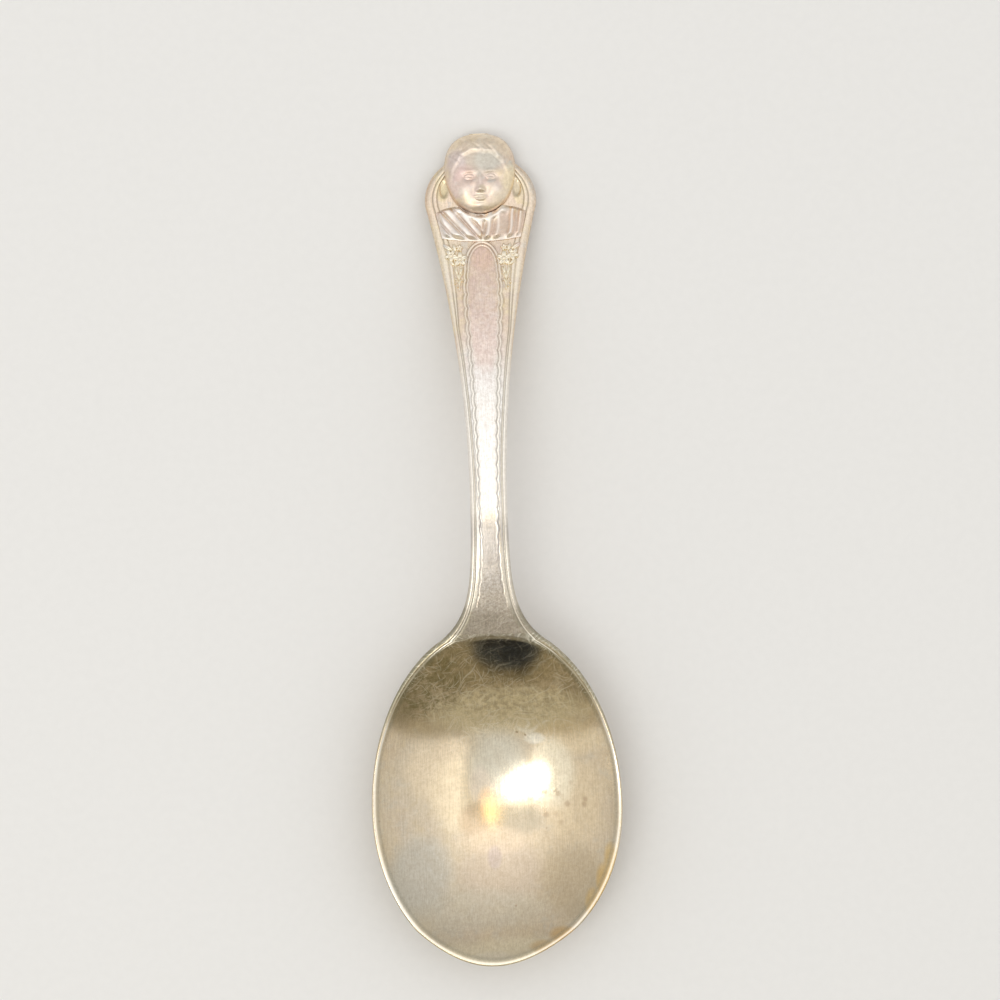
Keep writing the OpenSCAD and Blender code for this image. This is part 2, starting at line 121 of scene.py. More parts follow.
def spine(s):  # height of the rim, and then of the stem's face
    rim, heelTop = spoon["rimHeight"], spoon["rimHeight"] + spoon["heelRise"]
    toe = rim + spoon["toeRise"] * ((wideS - s) / spoon["toeLen"]) ** 2
    heel = rim + spoon["heelRise"] * ((s - wideS) / spoon["heelLen"]) ** 2
    rise = hermite((s - heelS) / spoon["crestAt"], heelTop, spoon["crestHeight"],
                   2 * spoon["heelRise"] / spoon["heelLen"], 0, spoon["crestAt"])
    run = fullLen - crestS
    fall = hermite((s - crestS) / run, spoon["crestHeight"], spoon["tipHeight"], 0, spoon["tipSlope"], run)
    return np.where(s < wideS, toe, np.where(s < heelS, heel, np.where(s < crestS, rise, fall)))


def hollowAt(x, s):  # 0 in the middle of the hollow, 1 at its lip: an ellipse at the toe, fuller at the heel
    across = np.abs(x) / (spoon["bowlHalf"] - spoon["rimWidth"])
    run = np.where(s < wideS, spoon["toeLen"] - spoon["rimWidth"], spoon["heelLen"] - spoon["heelLand"])
    power = np.where(s < wideS, 2.0, spoon["heelPower"])
    return (across ** power + (np.abs(s - wideS) / run) ** power) ** (1 / power)


def bowlThick(x, s):  # thick in the middle, thin at the rim
    run = np.where(s < wideS, spoon["toeLen"], spoon["heelLen"])
    r = np.minimum(1, np.hypot(x / spoon["bowlHalf"], (s - wideS) / run))
    return spoon["rimThick"] + (spoon["total"] - spoon["rimThick"]) * (1 - r ** spoon["hollowPower"])


def stemThick(x, s):  # middle and side thickness, eased from seam to neck to lobes, joined by a parabola
    q = np.minimum(1, np.abs(x) / stemHalf(s))
    low, high = ease((s - seamS) / (neckS - seamS)), ease((s - neckS) / (lobeS - neckS))
    atSeam = float(bowlThick(0.0, np.array(seamS)))
    middle = mix(mix(atSeam, spoon["neckThick"], low), spoon["endThick"], high)
    side = mix(mix(spoon["rimThick"], spoon["neckSide"], low), spoon["endSide"], high)
    return side + (middle - side) * (1 - q * q)


def stemFace(x, s):  # the spine, flat in the middle and falling to the sides by the fourth power
    q = np.minimum(1, np.abs(x) / stemHalf(s))
    return spine(s) - spoon["faceFall"] * q ** 4 * ease((s - seamS) / (neckS - seamS))


def place(x, s, z):  # to metres, with the toe worn to one side by a cube and drawn to a slight point
    worn = np.where(s < wideS, -spoon["toeWear"] * np.abs((wideS - s) / spoon["toeLen"]) ** 3, 0)
    point = 1 - spoon["pointShare"] * np.maximum(0, 1 - s / spoon["pointLen"]) ** spoon["pointPower"]
    return np.stack([x * point + worn, s - fullLen / 2, z], axis=-1).reshape(-1, 3) / 1000


def platePoints(x, s, top, low):  # points of a top surface, then of the surface under it
    return np.concatenate([place(x, s, top), place(x, s, low)])


def gridFaces(rows, cols, start=0):  # quads of a grid, facing up when rows run along Y and columns along X
    i, j = np.meshgrid(np.arange(rows - 1), np.arange(cols - 1), indexing="ij")
    a = start + i * cols + j
    return np.stack([a, a + 1, a + cols + 1, a + cols], axis=-1).reshape(-1, 4)


def plateFaces(rows, cols):  # top grid, bottom grid turned over, and a strip round the edge between them
    n = rows * cols
    low = gridFaces(rows, cols, n)[:, ::-1]
    loop = np.concatenate([
        np.arange(cols - 1), np.arange(rows - 1) * cols + cols - 1,
        (rows - 1) * cols + np.arange(cols - 1, 0, -1), np.arange(rows - 1, 0, -1) * cols])
    following = np.roll(loop, -1)
    strip = np.stack([loop + n, following + n, following, loop], axis=-1)
    return np.concatenate([gridFaces(rows, cols), low, strip])


def dishFaces(rings, around):  # quads round a stack of closed rings, with a fan on each pole
    j, k = np.meshgrid(np.arange(rings - 1) * around, np.arange(around), indexing="ij")
    following = (k + 1) % around
    quads = np.stack([j + k, j + around + k, j + around + following, j + following], axis=-1)
    k = np.arange(around)
    following = (k + 1) % around
    first, last = rings * around, rings * around + 1
    upper = np.stack([np.full(around, first), k, following], axis=-1)
    base = (rings - 1) * around
    lower = np.stack([np.full(around, last), base + following, base + k], axis=-1)
    return quads.reshape(-1, 4).tolist() + upper.tolist() + lower.tolist()


# painted shade with tarnish, painted highlight with wear, and a mark for the side that faces up
def topMarks(shadeAndTarnish, highlightAndWear, spare, upper=1.0):  # marks of the top's points, then of the spare ones after them
    clear = np.zeros(spare)
    return {"shadeAndTarnish": np.concatenate([shadeAndTarnish.reshape(-1), clear]),
            "highlightAndWear": np.concatenate([highlightAndWear.reshape(-1), clear]),
            "upper": np.concatenate([np.ones(shadeAndTarnish.size), np.full(spare, upper)])}


def addPiece(name, points, faces, material, node, marks):
    mesh = bpy.data.meshes.new(name)
    mesh.from_pydata(points.tolist(), [], faces if isinstance(faces, list) else faces.tolist())
    mesh.polygons.foreach_set("use_smooth", np.ones(len(mesh.polygons), dtype=bool))
    for label, values in marks.items():  # per-point marks that the finish reads
        mark = mesh.attributes.new(label, "FLOAT", "POINT")
        mark.data.foreach_set("value", np.ascontiguousarray(values.reshape(-1), dtype=np.float32))
    mesh.materials.append(material)
    piece = bpy.data.objects.new(name, mesh)
    bpy.context.scene.collection.objects.link(piece)
    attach(piece, "root")
    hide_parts(node)
    print(name, len(mesh.vertices), "points", len(mesh.polygons), "faces")


class Wire:  # a node socket that can be used in sums
    def __init__(self, tree, socket=None):
        self.tree, self.socket = tree, socket

    def make(self, kind, settings=None, inputs=None, out=0):
        node = self.tree.nodes.new(kind)
        for key, value in (settings or {}).items():
            setattr(node, key, value)
        for key, value in (inputs or {}).items():
            if isinstance(value, Wire):
                self.tree.links.new(value.socket, node.inputs[key])
            else:
                node.inputs[key].default_value = value
        return Wire(self.tree, node.outputs[out])

    def sums(self, operation, a, b=0.0):
        return self.make("ShaderNodeMath", {"operation": operation}, {0: a, 1: b})

    def __add__(self, other):
        return self.sums("ADD", self, other)

    def __radd__(self, other):
        return self.sums("ADD", other, self)

    def __sub__(self, other):
        return self.sums("SUBTRACT", self, other)

    def __rsub__(self, other):
        return self.sums("SUBTRACT", other, self)

    def __mul__(self, other):
        return self.sums("MULTIPLY", self, other)

    def __rmul__(self, other):
        return self.sums("MULTIPLY", other, self)

    def __truediv__(self, other):
        return self.sums("DIVIDE", self, other)

    def __pow__(self, other):
        return self.sums("POWER", self, other)

    def step(self, low, high):  # 0 below low, 1 above high, smooth between
        return self.make("ShaderNodeMapRange", {"interpolation_type": "SMOOTHSTEP"},
                         {"Value": self, "From Min": low, "From Max": high})

    def parts(self):  # the three parts of a vector
        return [self.make("ShaderNodeSeparateXYZ", None, {0: self}, k) for k in range(3)]

    def tint(self, a, b, kind="MIX"):  # colour a where this is 0, colour b where it is 1
        return self.make("ShaderNodeMix", {"data_type": "RGBA", "blend_type": kind}, {0: self, 6: a, 7: b}, 2)


def colour(r, g, b):
    return (r, g, b, 1.0)


def patch(x, y, wide, long, share, tone, **more):  # a soft oval: middle, half sizes in mm, strength, colour
    return {"x": x, "y": y, "wide": wide, "long": long, "share": share, "colour": colour(*tone), **more}


scratchSets = [  # lean of the grid, width and length of its cells in mm, share of cells, shift
    (0.1, 0.5, 1.5, 0.6, 3), (0.8, 0.6, 1.9, 0.6, 5), (-0.95, 0.45, 1.2, 0.6, 7), (1.45, 0.5, 2.2, 0.6, 11),
    (-1.4, 0.6, 1.7, 0.6, 61), (-0.85, 1.5, 5.5, 0.75, 71), (-1.15, 1.8, 7.0, 0.75, 77),
]


def silverFinish(name, look):
    material = bpy.data.materials.new(name)
    material.use_nodes = True
    tree = material.node_tree
    shader = tree.nodes["Principled BSDF"]
    seed = look["seed"]
    w = Wire(tree)
    here = w.make("ShaderNodeTexCoord", out=3)  # object coordinates, in metres
    mm = w.make("ShaderNodeVectorMath", {"operation": "SCALE"}, {0: here, "Scale": 1000.0})
    x, y = mm.parts()[:2]
    # a per-point mark of painted shade along rims, bevels, creases and valleys, with tarnish in the grooves
    shadeTarnishMark = w.make("ShaderNodeAttribute", {"attribute_name": "shadeAndTarnish"}, out=2)
    # a per-point mark of painted highlight on rims, beads and raised relief, with wear on the raised parts
    highlightAndWear = w.make("ShaderNodeAttribute", {"attribute_name": "highlightAndWear"}, out=2)
    upper = w.make("ShaderNodeAttribute", {"attribute_name": "upper"}, out=2)  # 1 on the side that faces up

    def cloud(scale, stretch=(1, 1, 1), detail=3.0, rough=0.55, shift=0.0):
        spot = w.make("ShaderNodeMapping", {}, {0: mm, 1: (shift, shift, shift), 3: stretch})
        return w.make("ShaderNodeTexNoise", {},
                      {"Vector": spot, "Scale": scale, "Detail": detail, "Roughness": rough})

    def within(local):  # squared distance from a patch's middle, 1 on its edge
        return ((x - local["x"]) / local["wide"]) ** 2 + ((y - local["y"]) / local["long"]) ** 2

    bend = w.make("ShaderNodeTexNoise", {}, {"Vector": mm, "Scale": 0.16, "Detail": 1.0}, 1)
    bent = w.make("ShaderNodeVectorMath", {"operation": "MULTIPLY_ADD"}, {0: bend, 1: (6, 6, 6), 2: mm})

    def scratches(turn, pitch, run, share, shift):  # a fine line in some cells of a turned grid, each leaning
        spot = w.make("ShaderNodeMapping", {"vector_type": "TEXTURE"},
                      {0: bent, 1: (shift, shift, 0), 2: (0, 0, turn), 3: (pitch, run, 1000)})
        cell = w.make("ShaderNodeVectorMath", {"operation": "FLOOR"}, {0: spot})
        across, along = w.make("ShaderNodeVectorMath", {"operation": "FRACTION"}, {0: spot}).parts()[:2]
        where, lean, chance = w.make("ShaderNodeTexWhiteNoise", {}, {"Vector": cell}, 1).parts()
        off = w.sums("ABSOLUTE", across - 0.3 - where * 0.4 - (along - 0.5) * (lean - 0.5) * 0.6)
        ends = 1 - w.sums("ABSOLUTE", along - 0.5).step(0.2, 0.48)
        return (1 - off.step(0.015 / pitch, 0.070 / pitch)) * ends * chance.step(1 - share, 1.6 - share)

    toning = cloud(0.085, (1, 0.8, 1), detail=4.0, shift=seed)
    blush = cloud(look["blushScale"], (1, 0.6, 1), shift=seed + 9)
    bands = cloud(1.0, (0.55, 0.03, 0.1), detail=4.0, rough=0.6, shift=seed + 17)
    brush = cloud(1.0, (8.0, 0.30, 2.0), detail=4.0, rough=0.7, shift=seed + 23)
    grains = cloud(look["grainScale"], detail=5.0, rough=0.72, shift=seed + 29)
    film = cloud(look["filmScale"], rough=0.6, shift=seed + 37)
    base = toning.step(0.36, 0.66).tint(look["silver"], look["toned"])
    base = (blush.step(0.45, 0.72) * look["blush"]).tint(base, look["blushColour"])
    base = (bands.step(0.35, 0.7) * look["bands"]).tint(base, look["bandColour"])
    base = (film.step(0.52, 0.66) * look["film"]).tint(base, look["filmWarm"])  # tarnish, warm or cool
    base = ((1 - film.step(0.34, 0.46)) * look["film"]).tint(base, look["filmCool"])
    # soft patches of colour: painted reflections, highlights and shade, with some real tone
    for local in look["lightAndTonePatches"]:  # soft patches of colour
        inside = 1 - (within(local) + (toning - 0.5) * 0.9).step(0.25, 1.15)
        seen = upper + (1 - upper) * local.get("back", 0.0)  # most patches stay off the back
        base = (inside * seen * local["share"]).tint(base, local["colour"])
    # blotches inside a soft patch: painted dark reflection in the upper bowl and on the neck, with some real
    # stain, and pink and pale ones on the panel
    for local in look["reflectionAndStainBlotches"]:  # blotches inside a soft patch
        blotch = cloud(local["scale"], detail=6.0, rough=0.75, shift=seed + 53).step(0.40, 0.63)
        inside = 1 - within(local).step(0.3, 1.2)
        base = (inside * blotch * upper * local["share"]).tint(base, local["colour"])
    base = (grains.step(0.38, 0.62) * look["mottle"]).tint(base, look["mottleColour"], "MULTIPLY")
    base = (brush.step(0.38, 0.64) * look["streak"]).tint(base, look["mottleColour"], "MULTIPLY")
    layers = [scratches(*grid, seed + shift) for *grid, shift in scratchSets]
    marks = layers[0]
    for layer in layers[1:]:
        marks = w.sums("MAXIMUM", marks, layer)
    for local in look["scored"]:  # scratches show mostly in a soft patch
        inside = 1 - within(local).step(0.5, 1.3)
        marks = marks * (local["rest"] + inside * upper * (1 - local["rest"]))
    pits = w.make("ShaderNodeTexVoronoi", {}, {"Vector": mm, "Scale": 0.55, "Randomness": 1.0})
    spots = (1 - pits.step(0.05, 0.11)) * cloud(0.16, shift=seed + 41).step(0.52, 0.6)
    for local in look["pitted"]:  # a group of deeper pits
        inside = 1 - within(local).step(0.3, 1.0)
        close = w.make("ShaderNodeTexVoronoi", {}, {"Vector": mm, "Scale": 0.75, "Randomness": 1.0})
        deep = 1 - (close + (grains - 0.5) * 0.5).step(0.12, 0.46)
        spots = w.sums("MAXIMUM", spots, deep * inside * upper)
    # painted shade with tarnish, then painted highlight with wear, tinted in from the per-point marks
    base = (shadeTarnishMark * look["shadeAndTarnish"]).tint(base, look["shadeAndTarnishColour"])
    base = (highlightAndWear * look["highlightAndWear"]).tint(base, look["highlightAndWearColour"])
    base = (spots * look["pits"]).tint(base, look["pitColour"])
    base = (marks * look["scratchTint"]).tint(base, look["scratchColour"])
    rough = look["rough"] + (bands - 0.5) * 0.10 + (brush - 0.5) * look["brushRough"] + marks * 0.04
    rough = rough + shadeTarnishMark * 0.14 + (toning - 0.5) * 0.08 - highlightAndWear * 0.04
    wave = cloud(0.35, shift=4.0) * look["wave"]
    height = brush * look["brushHeight"] + grains * look["grainHeight"] + wave
    height = height - marks * look["scratchHeight"] - spots * 0.008
    bump = w.make("ShaderNodeBump", {}, {"Strength": 1.0, "Distance": 0.001, "Height": height})
    for socket, wire in (("Base Color", base), ("Roughness", rough), ("Normal", bump)):
        tree.links.new(wire.socket, shader.inputs[socket])
    shader.inputs["Metallic"].default_value = 1.0
    return material


bowlLook = {
    "seed": 2.0, "silver": colour(0.80, 0.68, 0.50), "toned": colour(0.78, 0.63, 0.43), "rough": 0.17,
    "blush": 0.35, "blushScale": 0.13, "blushColour": colour(0.80, 0.67, 0.54),
    "bands": 0.35, "bandColour": colour(0.70, 0.60, 0.45), "streak": 0.38,
    "film": 0.22, "filmScale": 0.5,
    "filmWarm": colour(0.82, 0.66, 0.40), "filmCool": colour(0.66, 0.64, 0.56),
    "mottle": 0.30, "mottleColour": colour(0.70, 0.67, 0.61), "grainScale": 2.4, "grainHeight": 0.0030,
    # tint of painted shade with tarnish, then of painted highlight with wear
    "shadeAndTarnish": 0.70, "shadeAndTarnishColour": colour(0.28, 0.27, 0.20),
    "highlightAndWear": 0.85, "highlightAndWearColour": colour(0.96, 0.91, 0.80),
    "pits": 0.5, "pitColour": colour(0.40, 0.27, 0.16),
    "scratchTint": 0.50, "scratchColour": colour(0.98, 0.92, 0.78), "scratchHeight": 0.0002,
    "brushHeight": 0.0003, "brushRough": 0.10, "wave": 0.006,
    "scored": [{"x": 2.0, "y": -17.0, "wide": 14.0, "long": 9.0, "rest": 0.15}],
    "pitted": [{"x": 8.4, "y": -32.8, "wide": 5.4, "long": 4.0}],
    # dark olive blotches in the upper bowl: painted dark reflection with some tarnish
    "reflectionAndStainBlotches": [
        patch(-9.0, -17.0, 6.0, 5.5, 0.85, (0.28, 0.24, 0.12), scale=0.9),
        patch(2.0, -15.5, 14.0, 8.0, 0.48, (0.27, 0.22, 0.12), scale=1.3),
        patch(0.0, -35.0, 15.0, 18.0, 0.20, (0.56, 0.45, 0.31), scale=0.7),
    ],
    # the bowl mirrors its surroundings: these patches paint its reflections, dark olive and grey in the upper
    # bowl, cream, white and gold lower down, over some real tone; a white painted highlight sits at the toe
    "lightAndTonePatches": [
        patch(0.0, -14.5, 12.0, 5.0, 0.7, (0.48, 0.38, 0.21)),
        patch(1.8, -12.9, 4.6, 3.2, 0.9, (0.48, 0.50, 0.48)),
        patch(2.6, -21.2, 11.6, 3.8, 0.9, (1.0, 0.87, 0.62)),
        patch(-12.0, -18.2, 3.4, 5.6, 0.75, (0.40, 0.33, 0.21)),
        patch(11.2, -16.0, 3.2, 5.0, 0.6, (0.48, 0.39, 0.24)),
        patch(9.5, -24.8, 5.5, 2.8, 0.7, (0.98, 0.80, 0.52)),
        patch(-6.5, -28.5, 6.0, 5.0, 0.7, (0.97, 0.80, 0.56)),
        patch(-5.0, -32.0, 4.0, 5.5, 0.8, (0.98, 0.82, 0.57)),
        patch(0.3, -28.6, 4.6, 6.0, 0.8, (0.90, 0.86, 0.74)),
        patch(-2.1, -31.0, 1.7, 3.0, 0.6, (1.0, 0.86, 0.72)),
        patch(-1.3, -33.0, 1.5, 2.2, 0.5, (1.0, 0.74, 0.46)),
        patch(10.0, -33.0, 4.5, 7.0, 0.6, (0.92, 0.74, 0.48)),
        patch(7.2, -29.6, 3.6, 5.2, 0.85, (1.0, 0.90, 0.68)),
        patch(5.0, -24.9, 1.6, 0.9, 0.8, (1.0, 0.94, 0.80)),
        patch(2.6, -35.5, 3.6, 2.6, 0.85, (0.58, 0.50, 0.37)),
        patch(-2.8, -35.5, 2.6, 2.6, 0.75, (0.73, 0.55, 0.36)),
        patch(0.5, -42.4, 7.0, 5.0, 0.8, (0.68, 0.56, 0.43)),
        patch(-0.5, -38.2, 5.5, 2.2, 0.45, (0.92, 0.74, 0.54)),
        patch(-10.2, -42.5, 5.0, 5.5, 0.8, (0.66, 0.62, 0.53)),
        patch(9.4, -43.5, 5.0, 5.5, 0.85, (0.63, 0.51, 0.34)),
        patch(-2.0, -47.0, 11.0, 3.2, 0.55, (0.69, 0.63, 0.50)),
        patch(2.0, -53.0, 12.0, 3.2, 0.8, (1.0, 0.86, 0.60)),
        patch(14.5, -40.6, 1.0, 2.6, 0.8, (0.82, 0.57, 0.24)),
        patch(13.5, -43.4, 1.1, 2.6, 0.85, (0.82, 0.55, 0.21)),
        patch(12.1, -46.2, 1.2, 2.2, 0.8, (0.80, 0.55, 0.23)),
        patch(8.2, -50.2, 2.2, 1.3, 0.85, (0.80, 0.52, 0.22)),
        patch(5.6, -51.6, 2.2, 1.0, 0.7, (0.80, 0.55, 0.26)),
        patch(-0.5, -40.4, 1.1, 1.8, 0.5, (0.58, 0.48, 0.46)),
        patch(-1.2, -53.0, 3.6, 1.1, 0.5, (0.99, 0.88, 0.70)),
        patch(0.0, -10.2, 9.0, 2.6, 0.9, (0.43, 0.38, 0.30), back=0.4),
    ],
}
stemLook = {
    "seed": 5.0, "silver": colour(0.90, 0.76, 0.57), "toned": colour(0.88, 0.70, 0.52), "rough": 0.24,
    "blush": 0.55, "blushScale": 0.22, "blushColour": colour(0.83, 0.63, 0.53),
    "bands": 0.20, "bandColour": colour(0.74, 0.64, 0.50), "streak": 0.40,
    "film": 0.45, "filmScale": 0.42,
    "filmWarm": colour(0.89, 0.74, 0.40), "filmCool": colour(0.68, 0.66, 0.63),
    "mottle": 0.40, "mottleColour": colour(0.68, 0.64, 0.60), "grainScale": 2.6, "grainHeight": 0.0060,
    # tint of painted shade with tarnish, then of painted highlight with wear
    "shadeAndTarnish": 0.70, "shadeAndTarnishColour": colour(0.28, 0.26, 0.19),
    "highlightAndWear": 0.80, "highlightAndWearColour": colour(0.96, 0.89, 0.76),
    "pits": 0.4, "pitColour": colour(0.36, 0.27, 0.18),
    "scratchTint": 0.12, "scratchColour": colour(0.92, 0.86, 0.76), "scratchHeight": 0.0001,
    "brushHeight": 0.0003, "brushRough": 0.06, "wave": 0.006,
    "scored": [{"x": 0.0, "y": -7.0, "wide": 8.0, "long": 9.0, "rest": 0.3}],
    "pitted": [],
    # dark blotches on the neck: painted dark reflection; pink and pale ones on the panel: tone with painted
    # highlight
    "reflectionAndStainBlotches": [
        patch(0.0, -8.0, 6.0, 7.0, 0.75, (0.30, 0.25, 0.20), scale=3.4),
        patch(0.0, 33.0, 6.0, 13.0, 0.45, (0.68, 0.51, 0.47), scale=1.0),
        patch(0.5, 29.5, 2.2, 6.0, 0.45, (0.98, 0.88, 0.82), scale=1.3),
    ],
    "lightAndTonePatches": [
        # painted highlight along the crest of the handle
        patch(0.0, 14.5, 6.0, 16.5, 0.95, (0.98, 0.95, 0.91)),
        # painted shade and dark reflection on the handle just above the bowl
        patch(0.0, -7.5, 6.0, 6.5, 0.85, (0.52, 0.48, 0.42)),
        patch(0.0, -0.8, 6.0, 5.5, 0.9, (0.53, 0.50, 0.48)),
        patch(0.0, 27.6, 2.4, 5.2, 0.8, (0.94, 0.77, 0.68)),
        patch(-4.7, 31.5, 1.5, 8.0, 0.5, (0.98, 0.87, 0.62)),
        patch(4.7, 31.5, 1.5, 8.0, 0.5, (0.98, 0.83, 0.60)),
        patch(0.0, 34.0, 2.3, 6.0, 0.8, (0.82, 0.66, 0.55)),
        patch(0.0, 38.2, 1.9, 2.6, 0.8, (0.82, 0.61, 0.48)),
        patch(-6.5, 45.5, 1.3, 3.6, 0.6, (0.82, 0.62, 0.46)),
        patch(-5.0, 46.8, 1.0, 1.9, 0.7, (0.88, 0.73, 0.42)),
        patch(5.0, 46.8, 1.0, 1.9, 0.6, (0.88, 0.74, 0.48)),
        patch(0.0, -10.2, 9.0, 2.6, 0.9, (0.43, 0.38, 0.30), back=0.4),
    ],
}
reliefLook = {
    "seed": 8.0, "silver": colour(0.84, 0.71, 0.55), "toned": colour(0.83, 0.66, 0.52), "rough": 0.38,
    "blush": 0.7, "blushScale": 0.45, "blushColour": colour(0.86, 0.63, 0.57),
    "bands": 0.10, "bandColour": colour(0.74, 0.64, 0.54), "streak": 0.0,
    "film": 0.70, "filmScale": 0.45,
    "filmWarm": colour(0.90, 0.75, 0.42), "filmCool": colour(0.68, 0.71, 0.68),
    "mottle": 0.50, "mottleColour": colour(0.74, 0.70, 0.67), "grainScale": 2.0, "grainHeight": 0.0100,
    # tint of painted shade with tarnish, then of painted highlight with wear
    "shadeAndTarnish": 0.62, "shadeAndTarnishColour": colour(0.36, 0.30, 0.26),
    "highlightAndWear": 0.6, "highlightAndWearColour": colour(0.95, 0.90, 0.84),
    "pits": 0.4, "pitColour": colour(0.36, 0.26, 0.18),
    "scratchTint": 0.12, "scratchColour": colour(0.92, 0.88, 0.8), "scratchHeight": 0.0010,
    "brushHeight": 0.0003, "brushRough": 0.06, "wave": 0.010,
    "scored": [], "pitted": [], "reflectionAndStainBlotches": [],
    # patches of patina tone over the sprays, head and collar, with some painted highlight and shade
    "lightAndTonePatches": [
        patch(-3.4, 36.5, 2.2, 4.0, 0.85, (0.96, 0.85, 0.60)),
        patch(3.4, 36.5, 2.2, 4.0, 0.85, (0.96, 0.85, 0.60)),
        patch(-3.0, 42.0, 3.6, 2.6, 0.7, (0.91, 0.84, 0.79)),
        patch(3.4, 42.0, 3.0, 2.6, 0.6, (0.91, 0.70, 0.56)),
        patch(0.0, 47.0, 5.2, 6.0, 0.45, (0.88, 0.74, 0.65)),
        patch(0.0, 53.0, 6.0, 3.2, 0.7, (0.98, 0.84, 0.65)),
        patch(0.2, 50.0, 3.4, 1.9, 0.75, (0.60, 0.53, 0.45)),
        patch(1.1, 50.4, 2.1, 1.5, 0.4, (0.55, 0.58, 0.52)),
        patch(-3.0, 49.8, 1.4, 2.4, 0.55, (0.70, 0.59, 0.60)),
        patch(-1.9, 48.2, 1.6, 1.8, 0.45, (0.86, 0.60, 0.52)),
        patch(4.0, 47.6, 1.3, 2.6, 0.7, (1.0, 0.86, 0.58)),
        patch(3.1, 45.2, 1.7, 1.6, 0.8, (1.0, 0.85, 0.64)),
    ],
}
bowlSilver = silverFinish("bowlSilver", bowlLook)
stemSilver = silverFinish("stemSilver", stemLook)
reliefSilver = silverFinish("reliefSilver", reliefLook)
print("finishes ready")

bowlSet = {
    "around": 320, "lipSoft": 0.045, "bevelSide": 0.22, "bevelHeel": 0.70, "bevelDrop": 0.85, "toeSlope": 0.2,
    "inset": 0.25, "lineDepth": 0.06, "lineHalf": 0.065, "lineGap": 0.2, "lineFromS": 33.0, "lineRun": 8.0,
    "backRings": 44, "sideTurns": [0.3, 0.6, 0.85],
    # where a painted highlight line and a painted grey band lie inside the bevel
    "lightAt": 0.12, "greyAt": 0.48, "greyHalf": 0.24,  # a bright line and a grey one inside the bevel
}


def bevelWidth(s):  # thin round the toe, wider towards the shoulders
    return mix(bowlSet["bevelSide"], bowlSet["bevelHeel"], ease((s - wideS - 4) / (heelS - wideS - 6)))


def bowlEdgeGap(x, s):  # distance to the free edge: oval by its gradient, shoulders by their lean
    run = np.where(s < wideS, spoon["toeLen"], spoon["heelLen"])
    r = np.hypot(x / spoon["bowlHalf"], (s - wideS) / run)
    slope = np.hypot(x / spoon["bowlHalf"] ** 2, (s - wideS) / run ** 2) / np.maximum(r, 0.05)
    half = bodyHalf(s)
    lean = np.hypot(1, (half - bodyHalf(s - 0.01)) / 0.01)
    return np.where(s < joinS, (1 - r) / np.maximum(slope, 1e-4), (half - np.abs(x)) / lean)


def bowlTop(x, s):  # hollow with a soft lip below the rim, a rounded bevel on the free edge, two fine lines
    r = hollowAt(x, s)
    g = 1 - r ** spoon["hollowPower"]
    soft = 0.5 * (g + np.sqrt(g * g + bowlSet["lipSoft"] ** 2 * ease((0.4 - g) / 0.3)))
    wide, gap = bevelWidth(s), bowlEdgeGap(x, s)
    t = np.clip(1 - gap / wide, 0, 1)
    toe = bowlSet["toeSlope"] * t * (1 - ease((s - 36) / 6))
    bevel = bowlSet["bevelDrop"] * wide * (rounded(t) + toe)
    first = (gap - wide) / bowlSet["lineHalf"] - 1.2
    lines = bell(first) + bell(first - bowlSet["lineGap"] / bowlSet["lineHalf"])
    lines = lines * ease((s - bowlSet["lineFromS"]) / bowlSet["lineRun"])
    return spine(s) - spoon["depth"] * soft - bevel - bowlSet["lineDepth"] * lines, r, t, lines, gap


